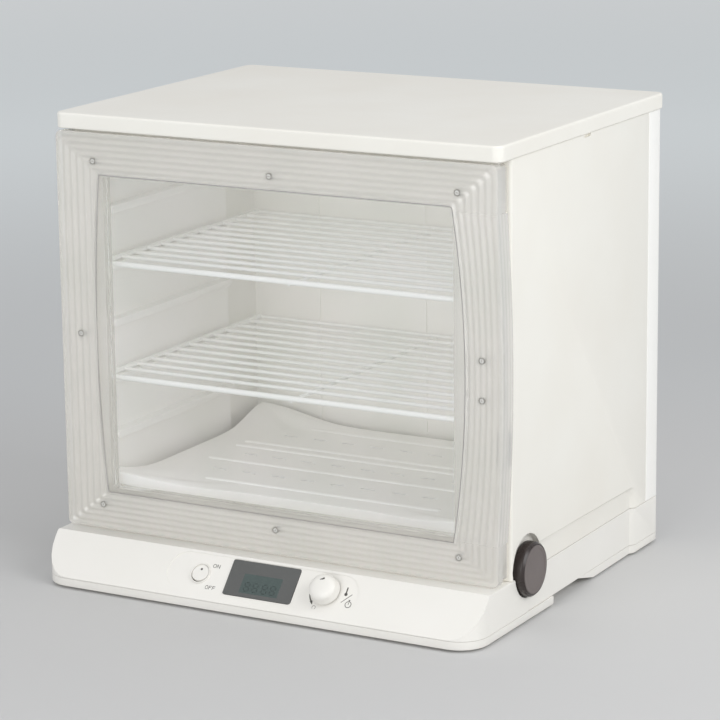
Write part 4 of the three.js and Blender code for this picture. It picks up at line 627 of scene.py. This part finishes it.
def make_inner_door():
    """The inner moulding's frame, with its pane cut out of it and made as a piece of its own."""
    half = WINDOW_HALF_WIDTH - JAMB_INSET
    low, high = WINDOW_BOTTOM_Z + JAMB_INSET, WINDOW_TOP_Z - JAMB_INSET

    def prism(name, spare, left_spare, front, back):
        flat = outline(-half - left_spare, half + spare, low - spare, high + spare,
                       [WINDOW_SOFT_CORNER + spare] * 4, INNER_CORNER_STEPS)
        return bare(name, lofted([[(x, y, z) for x, z in flat] for y in (front, back)]))

    frame_piece = bpy.data.objects.new("door_inner_frame", nodes["door_inner"].data.copy())
    scene.collection.objects.link(frame_piece)
    carve(frame_piece, prism("pane_cutter", INNER_PLAY, JAMB_INSET,
                             INNER_FRONT_Y - CUTTER_REACH, INNER_BACK_Y + CUTTER_REACH))
    settle(frame_piece, "clear_plastic", "door", ("door_inner",), "ribbed_plastic")
    pane = prism("door_inner_pane", -INNER_PLAY, JAMB_INSET - 2 * INNER_PLAY,
                 INNER_MIDDLE_Y - INNER_PANE / 2, INNER_MIDDLE_Y + INNER_PANE / 2)
    settle(pane, "clear_plastic", "door", ("door_inner",))


# Door: its screws, which show through the frame. Profiles are (radius, depth)

DOOR_SCREWS = [(x, z) for z in (353.0, 63.0) for x in (-167.0, 0.0, 167.0)]
DOOR_SCREWS += [(-183.3, 208.0), (188.3, 223.8), (188.3, 192.2)]
BOSS_PROFILE = [(2.0, 0.15), (2.2, 0), (2.6, 0), (2.8, 0.2), (2.8, 1.6), (2.0, 1.6)]
CAP_PROFILE = [(0, 0.3), (1.6, 0.3), (2.0, 0.5), (2.0, 1.6), (0, 1.6)]
END_PROFILE = [(0, 0.15), (0.5, 0.15), (0.7, 0.4), (0, 0.4)]
BOSS_SIDES, CAP_SIDES, END_SIDES = 28, 24, 16
BOSS_PROUD = 0.1


def face_depth(x, z):
    """How far behind the door's face the crest of its ribs lies at a place on the frame."""
    side, inner = DOOR_HALF_WIDTH, WINDOW_HALF_WIDTH
    if x > 0:
        side += arch(z, GRIP_BOTTOM_Z, GRIP_TOP_Z, GRIP_BULGE)
        inner += arch(z, GRIP_BOTTOM_Z, GRIP_TOP_Z, WINDOW_ARCH_RIGHT)
    inward = min((side - abs(x)) / (side - inner),
                 (DOOR_TOP_Z - z) / (DOOR_TOP_Z - WINDOW_TOP_Z),
                 (z - DOOR_BOTTOM_Z) / (WINDOW_BOTTOM_Z - DOOR_BOTTOM_Z))
    across = (inward - RIM_SHARE) / (1 - RIM_SHARE)
    on_grip = x > 0 and GRIP_BOTTOM_Z < z < GRIP_TOP_Z
    return PANE_SET_BACK * across * across + (0 if on_grip else GRIP_PROUD)


def make_screw_marks():
    """The round ends of the screw bosses, let into the face of the clear frame."""
    boss = turned(BOSS_PROFILE, BOSS_SIDES, closed=True)
    cap = turned(CAP_PROFILE, CAP_SIDES)
    end = turned(END_PROFILE, END_SIDES)
    for number, (x, z) in enumerate(DOOR_SCREWS, 1):
        there = (Matrix.Translation((x, DOOR_FACE_Y + face_depth(x, z) - BOSS_PROUD, z))
                 @ Matrix.Rotation(-QUARTER, 4, "X"))
        for name, shape, slot, material in (
                ("screw_boss", boss, "clear_plastic", "grey_ink"),
                ("screw_cap", cap, "clear_plastic", "pale_plastic"),
                ("screw_end", end, "dark_plastic", "grey_ink")):
            piece(f"{name}_{number}", placed(shape, there), slot, "door", (), material)


# Lid

LID_X, LID_Y, LID_Z = (-204, 204), (-131.5, 175.5), (378, 391)
LID_CORNER, LID_UPPER_EDGE, LID_LOWER_EDGE = 8, 2, 1.2


def make_lid():
    shell = slab(LID_X, LID_Y, LID_Z, LID_CORNER, LID_UPPER_EDGE, LID_LOWER_EDGE)
    piece("lid_shell", shell, "cream_plastic", "lid", ("lid",))


# Lock knobs. Profiles are (radius, distance from the middle of the object)

POCKET_FLOOR_X = 197.5
KNOB_BACK = POCKET_FLOOR_X + 1.5
KNOB_FACE = KNOB_BACK + 10
KNOB_Y, KNOB_Z = -80.5, 45.0
KNOB_BORE = 5.3
KNOB_SIDES = 72
KNOB_RIM = [
    (KNOB_BORE, KNOB_BACK + 2.5), (KNOB_BORE, KNOB_BACK), (21.6, KNOB_BACK),
    (22.1, KNOB_BACK + 0.3), (22.3, KNOB_BACK + 0.9), (22.2, KNOB_FACE - 2.6),
    (21.9, KNOB_FACE - 1.9), (20.5, KNOB_FACE - 0.4), (20.3, KNOB_FACE - 0.2),
    (19.9, KNOB_FACE - 0.35), (19.7, KNOB_FACE - 0.9), (17, KNOB_FACE - 1.2),
    (KNOB_BORE, KNOB_FACE - 1.2),
]
KNOB_DISC = [
    (0, KNOB_FACE - 1), (KNOB_BORE, KNOB_FACE - 1), (19.6, KNOB_FACE - 1),
    (19.6, KNOB_FACE - 0.25), (19.3, KNOB_FACE - 0.05), (18.9, KNOB_FACE), (17.6, KNOB_FACE),
    (17.1, KNOB_FACE - 0.15), (16.6, KNOB_FACE - 0.5), (0, KNOB_FACE - 0.5),
]


def make_knobs():
    rim, face = turned(KNOB_RIM, KNOB_SIDES, closed=True), turned(KNOB_DISC, KNOB_SIDES)
    for side, name in ((1, "right"), (-1, "left")):
        turn = (Matrix.Translation((0, KNOB_Y, KNOB_Z))
                @ Matrix.Rotation(side * QUARTER, 4, "Y"))
        body, replaced = f"lock_{name}", (f"lock_knob_{name}",)
        piece(f"knob_rim_{name}", placed(rim, turn), "dark_plastic", body, replaced, "dark_gloss")
        piece(f"knob_face_{name}", placed(face, turn), "dark_plastic", body, replaced)


# Control face, in its own frame: u to the right, v up the slope, w out of it

SLOPE = math.radians(48.2)
SLOPE_FOOT_Y, SLOPE_FOOT_Z = -175.5, 10
SLOPE_MIDDLE = 23.2                   # up the slope from its foot
PANEL = (Matrix.Translation((0, SLOPE_FOOT_Y + SLOPE_MIDDLE * math.cos(SLOPE),
                             SLOPE_FOOT_Z + SLOPE_MIDDLE * math.sin(SLOPE)))
         @ Matrix.Rotation(SLOPE, 4, "X"))
RECESS_W = -0.5                       # floor of the pill recess
INK, INK_ROOT = 0.06, 0.2             # height of printed marks, and how far they reach down
ARC_STEPS, DISC_STEPS = 16, 24
LETTER_LINE, LETTER_GAP = 0.42, 0.7
LETTERS = {                           # strokes on a grid one wide and one high
    "O": [[(0.5, 1), (0.15, 0.85), (0, 0.5), (0.15, 0.15), (0.5, 0), (0.85, 0.15), (1, 0.5),
           (0.85, 0.85), (0.5, 1), (0.45, 0.99)]],
    "N": [[(0.08, 0), (0.08, 1)], [(0.08, 1), (0.92, 0)], [(0.92, 0), (0.92, 1)]],
    "F": [[(0.08, 0), (0.08, 1)], [(0.08, 0.94), (0.95, 0.94)], [(0.08, 0.52), (0.8, 0.52)]],
}


def on_panel(name, shape, slot, body="cabinet", replaced=(), material=None):
    return piece(name, placed(shape, PANEL), slot, body, replaced, material)


def mark(name, flats, material="print_ink", low=RECESS_W - INK_ROOT, high=RECESS_W + INK):
    """Printed marks from flat outlines, a hair above what carries them."""
    shape = joined([plate(flat, low, high) for flat in flats])
    return on_panel(name, shape, "dark_plastic", material=material)


def stroke(path, width):
    """The outline of a line of even width, or of a width for each point, with cut ends."""
    widths = width if isinstance(width, list) else [width] * len(path)
    left, right = [], []
    for k, (u, v) in enumerate(path):
        before, after = path[max(k - 1, 0)], path[min(k + 1, len(path) - 1)]
        du, dv = after[0] - before[0], after[1] - before[1]
        size = math.hypot(du, dv)
        nu, nv = -dv / size * widths[k] / 2, du / size * widths[k] / 2
        left.append((u + nu, v + nv))
        right.append((u - nu, v - nv))
    return right + left[::-1]


def arc(centre, radius, start, end, steps=ARC_STEPS):
    """Points along an arc between two angles in degrees."""
    turns = [math.radians(lerp(start, end, k / steps)) for k in range(steps + 1)]
    return [(centre[0] + radius * math.cos(a), centre[1] + radius * math.sin(a)) for a in turns]


def disc(centre, radius):
    return arc(centre, radius, 0, 360 - 360 / DISC_STEPS, DISC_STEPS - 1)


def ring_mark(centre, radius, width):
    """A closed round line, as two halves that overlap."""
    return [stroke(arc(centre, radius, 0, 182), width),
            stroke(arc(centre, radius, 180, 362), width)]


def word(text, u, v, width, height):
    flats = []
    for letter in text:
        for path in LETTERS[letter]:
            flats.append(stroke([(u + x * width, v + y * height) for x, y in path],
                                LETTER_LINE))
        u += width + LETTER_GAP
    return flats


def digit(u, v, width, height, line):
    """The seven bars of one digit of the display."""
    middle = v + height / 2
    bars = [stroke([(u + line, y), (u + width - line, y)], line) for y in (v, middle, v + height)]
    for x in (u, u + width):
        bars += [stroke([(x, v + line), (x, middle - line)], line),
                 stroke([(x, middle + line), (x, v + height - line)], line)]
    return bars


DISPLAY_PLATE = ((-28.5, 34.5), (-15, 16.2), (-1.1, 0.1))
LCD_VIEW = ((-14.3, 21.4), (-11.8, 5.2), (-0.4, 0.16))
DISPLAY_CORNER, DISPLAY_EDGE = 1.3, 0.15
LCD_CORNER, LCD_EDGE = 0.5, 0.05
DIGITS, DIGIT_U, DIGIT_V = 4, -10.6, -10
DIGIT_PITCH, PAIR_GAP = 7.6, 1.2
DIGIT_WIDTH, DIGIT_HEIGHT, DIGIT_LINE = 4.4, 7.8, 0.75
DIGIT_LOW, DIGIT_HIGH = 0, 0.2


def make_display():
    on_panel("display_plate", slab(*DISPLAY_PLATE, DISPLAY_CORNER, DISPLAY_EDGE), "display_gloss",
             replaced=("display_cover",))
    on_panel("lcd_view", slab(*LCD_VIEW, LCD_CORNER, LCD_EDGE), "lcd_glass",
             replaced=("lcd_module",))
    bars = []
    for k in range(DIGITS):
        u = DIGIT_U + k * DIGIT_PITCH + (PAIR_GAP if k > 1 else 0)
        bars += digit(u, DIGIT_V, DIGIT_WIDTH, DIGIT_HEIGHT, DIGIT_LINE)
    mark("lcd_digits", bars, "lcd_ink", DIGIT_LOW, DIGIT_HIGH)


SWITCH = (-54.3, -0.8)
SWITCH_RING = [(7.9, -2.4), (7.9, 0.7), (8.05, 1.05), (8.35, 1.2), (8.65, 1.0), (8.75, 0.6),
               (8.75, RECESS_W), (8.2, -2.4)]
SWITCH_FLOOR = [(0, -2.6), (8.1, -2.6), (8.1, -2.2), (0, -2.2)]
SWITCH_RING_SIDES, SWITCH_FLOOR_SIDES, ROCKER_SIDES = 56, 40, 48
ROCKER_W, ROCKER_TILT = -2.5, math.radians(-7)
ROCKER_PROFILE = ((7.3, 0.9), (7.45, 3.1), (7.35, 3.5), (7.05, 3.75), (5, 3.8), (3, 3.8),
                  (1.2, 3.8))
ROCKER_DIP, ROCKER_REACH = 0.5, 7.5   # how far its face dips, and at what distance it is flat
DOT_PLACE, DOT_RADIUS = (0, 3.2), 0.95
DOT_LOW, DOT_HIGH = 3.3, 3.66


def make_switch():
    there = Matrix.Translation((*SWITCH, 0))
    ring = turned(SWITCH_RING, SWITCH_RING_SIDES, closed=True)
    floor = turned(SWITCH_FLOOR, SWITCH_FLOOR_SIDES)
    on_panel("switch_ring", placed(ring, there), "white_plastic", replaced=("switch_body",))
    on_panel("switch_floor", placed(floor, there), "dark_plastic", material="dark_gloss")
    tilt = (there @ Matrix.Translation((0, 0, ROCKER_W))
            @ Matrix.Rotation(ROCKER_TILT, 4, "X"))
    rings = []
    for r, z in ROCKER_PROFILE:
        rings.append([(r * math.cos(a), r * math.sin(a),
                       z - ROCKER_DIP * (1 - abs(r * math.sin(a)) / ROCKER_REACH))
                      for a in angles(ROCKER_SIDES, math.tau, last=False)])
    on_panel("rocker_cap", placed(lofted(rings), tilt), "white_plastic", "rocker",
             ("power_button",))
    dot = plate(disc(DOT_PLACE, DOT_RADIUS), DOT_LOW, DOT_HIGH)
    on_panel("rocker_dot", placed(dot, tilt), "dark_plastic", "rocker", (), "print_ink")


DIAL = (62.7, 0.8)
DIAL_SIDES = 72
DIAL_SKIRT = [(0, 10.2), (3.3, 9.8), (3.3, 3.6), (5, 3.6), (5, 8.2), (10.5, 5.3), (10.5, 1.6),
              (12.2, 1.6), (12.45, 1.8), (12.5, 2.1), (12.3, 3.4)]
DOME_RADIUS, DOME_ROUNDNESS, DOME_STEPS = 11.62, 0.7, 14
DOME_START_W, DOME_RISE, DOME_TOP_W = 7.65, 4.9, 12.55


def make_dial():
    dome = [(DOME_RADIUS * math.cos(a) ** DOME_ROUNDNESS, DOME_START_W + DOME_RISE * math.sin(a))
            for a in angles(DOME_STEPS, QUARTER, last=False)]
    cap = turned(DIAL_SKIRT + dome + [(0, DOME_TOP_W)], DIAL_SIDES)
    on_panel("dial_cap", placed(cap, Matrix.Translation((*DIAL, 0))), "white_plastic", "dial",
             ("dial_knob",))


POINTER_LOW, POINTER_HIGH = 11.2, 12.35
SWEEP_RADIUS, SWEEP_START, SWEEP_END = 14.3, 176, 222
SWEEP_WIDTH, SWEEP_GROWTH = 0.7, 0.5


def make_marks():
    """The words beside the switch, the dial's pointer and the plain symbols round it."""
    mark("mark_on", word("ON", -45.6, 6.1, 2.9, 3.2))
    mark("mark_off", word("OFF", -45.9, -13.2, 2.6, 3.2))
    pointer = plate(stroke([(60.9, 5.0), (64.3, 7.2)], 1.4), POINTER_LOW, POINTER_HIGH)
    on_panel("mark_pointer", pointer, "dark_plastic", "dial", (), "print_ink")
    sweep = arc(DIAL, SWEEP_RADIUS, SWEEP_START, SWEEP_END)
    widths = [SWEEP_WIDTH + SWEEP_GROWTH * k / ARC_STEPS for k in range(ARC_STEPS + 1)]
    mark("mark_turn", [stroke(sweep, widths), [(51.0, -9.3), (54.0, -11.9), (53.4, -8.2)]])
    mark("mark_reset", [stroke(arc((56.3, -13.9), 1.5, -60, 240), 0.4)], "grey_ink")
    mark("mark_heat", [stroke([(80.2, 1.6), (80.2, 7.4)], 1.1), disc((80.3, 1.3), 1.4)])
    mark("mark_or", [stroke([(78.3, -6.1), (85.9, 1.9)], 0.5)])
    mark("mark_time", ring_mark((85.2, -7), 2.6, 0.55) + [
        stroke([(85.2, -7), (85.2, -5.2)], 0.5),
        stroke([(85.2, -4.4), (85.2, -3.4)], 0.6),
        stroke([(84.4, -3.2), (86, -3.2)], 0.6)])


# Wire shelves

SHELF_LEVELS = (("upper", 262.95), ("lower", 166.45))
SHELF_X, SHELF_FRONT_Y, SHELF_REAR_Y = 180.3, -102.5, 148.8
SHELF_CORNER, SHELF_CORNER_STEPS = 14, 8
SHELF_PITCH, SHELF_WIRES = 20.3, 12
BORDER_RADIUS, BORDER_SIDES = 2.3, 18
WIRE_RADIUS = 1.5
SPINE_DROP = 2.4                      # from the cross wires down to the one under them


def make_shelves():
    for name, z in SHELF_LEVELS:
        path = [(-SHELF_X, SHELF_REAR_Y, z)]
        for side in (-1, 1):
            turn = [(side * (SHELF_X - SHELF_CORNER * (1 - math.cos(a))),
                     SHELF_FRONT_Y + SHELF_CORNER * (1 - math.sin(a)), z)
                    for a in angles(SHELF_CORNER_STEPS, QUARTER)]
            path += turn if side < 0 else turn[::-1]
        path.append((SHELF_X, SHELF_REAR_Y, z))
        wires = [swept(path, BORDER_RADIUS, BORDER_SIDES)]
        for k in range(SHELF_WIRES):
            y = SHELF_REAR_Y - k * SHELF_PITCH
            wires.append(swept([(-SHELF_X, y, z), (SHELF_X, y, z)], WIRE_RADIUS))
        spine_z = z - SPINE_DROP
        wires.append(swept([(0, SHELF_FRONT_Y, spine_z), (0, SHELF_REAR_Y, spine_z)], WIRE_RADIUS))
        piece(f"shelf_wires_{name}", joined(wires), "chrome_wire", f"{name}_shelf",
              (f"shelf_{name}",))


# Floor cover

COVER_HALF_WIDTH = 181.0
COVER_FRONT_Y, COVER_REAR_Y = -108.5, 152.0
COVER_HALF_DEPTH = (COVER_REAR_Y - COVER_FRONT_Y) / 2
COVER_MIDDLE_Y = (COVER_REAR_Y + COVER_FRONT_Y) / 2
COVER_TOP_Z = 75.0
COVER_PLATE, COVER_SKIRT, COVER_WALL = 2.5, 9.5, 2
COVER_RIM = 1 - COVER_WALL / COVER_HALF_WIDTH
COVER_SHARES = (0.7, 0.74, 0.78, 0.82, 0.86, 0.9, 0.94, 0.97)
COVER_SOFT_EDGE = ((0.9965, 0.25), (1, 1.1))      # share of the way out, drop
FRONT_SCOOP, SIDE_SCOOP, REAR_SCOOP = 25.0, 5.5, 9.0
SCOOP_START = 0.3
CORNER_RISE, RISE_START = 11.0, 0.7
EDGE_SPAN, EDGE_POINTS = 0.985, 40
SLOT_ROWS, SLOTS = (-0.38, 0.015, 0.54), 9
SLOT_PITCH, SLOT_HALF_LENGTH, SLOT_HALF_WIDTH = 29, 7, 1.3
SLOT_CORNER, SLOT_STEPS = 1.2, 4
SLOT_LOW_Z, SLOT_HIGH_Z = 70, 78
RIDGES = (-0.6, -0.16, 0.19, 0.305, 0.76)
OUTER_RIDGE, OUTER_REACH, INNER_REACH = 0.5, 0.62, 0.8
RIDGE_HALF_WIDTH, RIDGE_HEIGHT, RIDGE_ROOT, RIDGE_STEPS = 3.5, 1.2, 0.6, 10
RIDGE_ENDS = ((0, 0.05), (1, 0.7), (3, 1))        # distance from the end, size


def cover_outline():
    """Points of the cover's edge with how much of a corner each is: 0 in a scoop, 1 at a corner."""
    points = []
    for quarter in range(4):
        for k in range(EDGE_POINTS):
            share = lerp(-EDGE_SPAN, EDGE_SPAN, k / (EDGE_POINTS - 1))
            blend = min(max((abs(share) - SCOOP_START) / (1 - SCOOP_START), 0), 1)
            scoop = (1 + math.cos(math.pi * blend)) / 2
            x, y = (
                (share * COVER_HALF_WIDTH, -COVER_HALF_DEPTH + FRONT_SCOOP * scoop),
                (COVER_HALF_WIDTH - SIDE_SCOOP * scoop, share * COVER_HALF_DEPTH),
                (-share * COVER_HALF_WIDTH, COVER_HALF_DEPTH - REAR_SCOOP * scoop),
                (-COVER_HALF_WIDTH + SIDE_SCOOP * scoop, -share * COVER_HALF_DEPTH),
            )[quarter]
            points.append((x, COVER_MIDDLE_Y + y, 1 - scoop))
    return points


def ridge_ring(x, y, size):
    """One section of a ridge on the cover."""
    half = RIDGE_HALF_WIDTH * size
    crest = [(x, y + half * math.cos(a), COVER_TOP_Z + RIDGE_HEIGHT * size * math.sin(a))
             for a in angles(RIDGE_STEPS, math.pi)]
    return crest + [(x, y + side * half, COVER_TOP_Z - RIDGE_ROOT) for side in (-1, 1)]


def make_cover():
    """The slotted plate with scooped edges and raised corners, and the ridges on it."""
    edge = cover_outline()

    def ring(share, drop):
        rise = CORNER_RISE * smooth(share, RISE_START, 1)
        return [(x * share, COVER_MIDDLE_Y + (y - COVER_MIDDLE_Y) * share,
                 COVER_TOP_Z + rise * corner * corner - drop) for x, y, corner in edge]

    rings = [ring(share, 0) for share in (*COVER_SHARES, COVER_RIM)]
    rings += [ring(share, drop) for share, drop in COVER_SOFT_EDGE]
    rings += [ring(1, COVER_SKIRT), ring(COVER_RIM, COVER_SKIRT)]
    rings += [ring(share, COVER_PLATE) for share in (COVER_RIM, *reversed(COVER_SHARES))]
    cover = bare("cover_plate", lofted(rings))
    slots = []
    for row in SLOT_ROWS:
        for k in range(SLOTS):
            x, y = (k - SLOTS // 2) * SLOT_PITCH, COVER_MIDDLE_Y + row * COVER_HALF_DEPTH
            flat = outline(x - SLOT_HALF_LENGTH, x + SLOT_HALF_LENGTH, y - SLOT_HALF_WIDTH,
                           y + SLOT_HALF_WIDTH, [SLOT_CORNER] * 4, SLOT_STEPS)
            slots.append(plate(flat, SLOT_LOW_Z, SLOT_HIGH_Z))
    carve(cover, bare("cover_cutter", joined(slots)))
    # The cover and its ridges take the inside's lighter white: painted light
    settle(cover, "white_plastic", "cover", ("floor_cover",), "painted_light_inner_white")
    for number, share in enumerate(RIDGES, 1):
        y = COVER_MIDDLE_Y + share * COVER_HALF_DEPTH
        reach = COVER_HALF_WIDTH * (OUTER_REACH if abs(share) > OUTER_RIDGE else INNER_REACH)
        rings = [ridge_ring(-reach + inward, y, size) for inward, size in RIDGE_ENDS]
        rings += [ridge_ring(reach - inward, y, size) for inward, size in reversed(RIDGE_ENDS)]
        piece(f"cover_ridge_{number}", lofted(rings), "white_plastic", "cover", (), "painted_light_inner_white")


make_camera()
make_floor()
make_lights()
materials = make_materials()
dress_nodes()
make_door()
make_inner_door()
make_screw_marks()
make_lid()
make_knobs()
make_display()
make_switch()
make_dial()
make_marks()
make_shelves()
make_cover()

scene.view_settings.view_transform = "Standard"
scene.cycles.use_denoising = True
scene.cycles.transmission_bounces = 16
scene.cycles.transparent_max_bounces = 24
scene.cycles.max_bounces = 24
scene.cycles.diffuse_bounces = 14
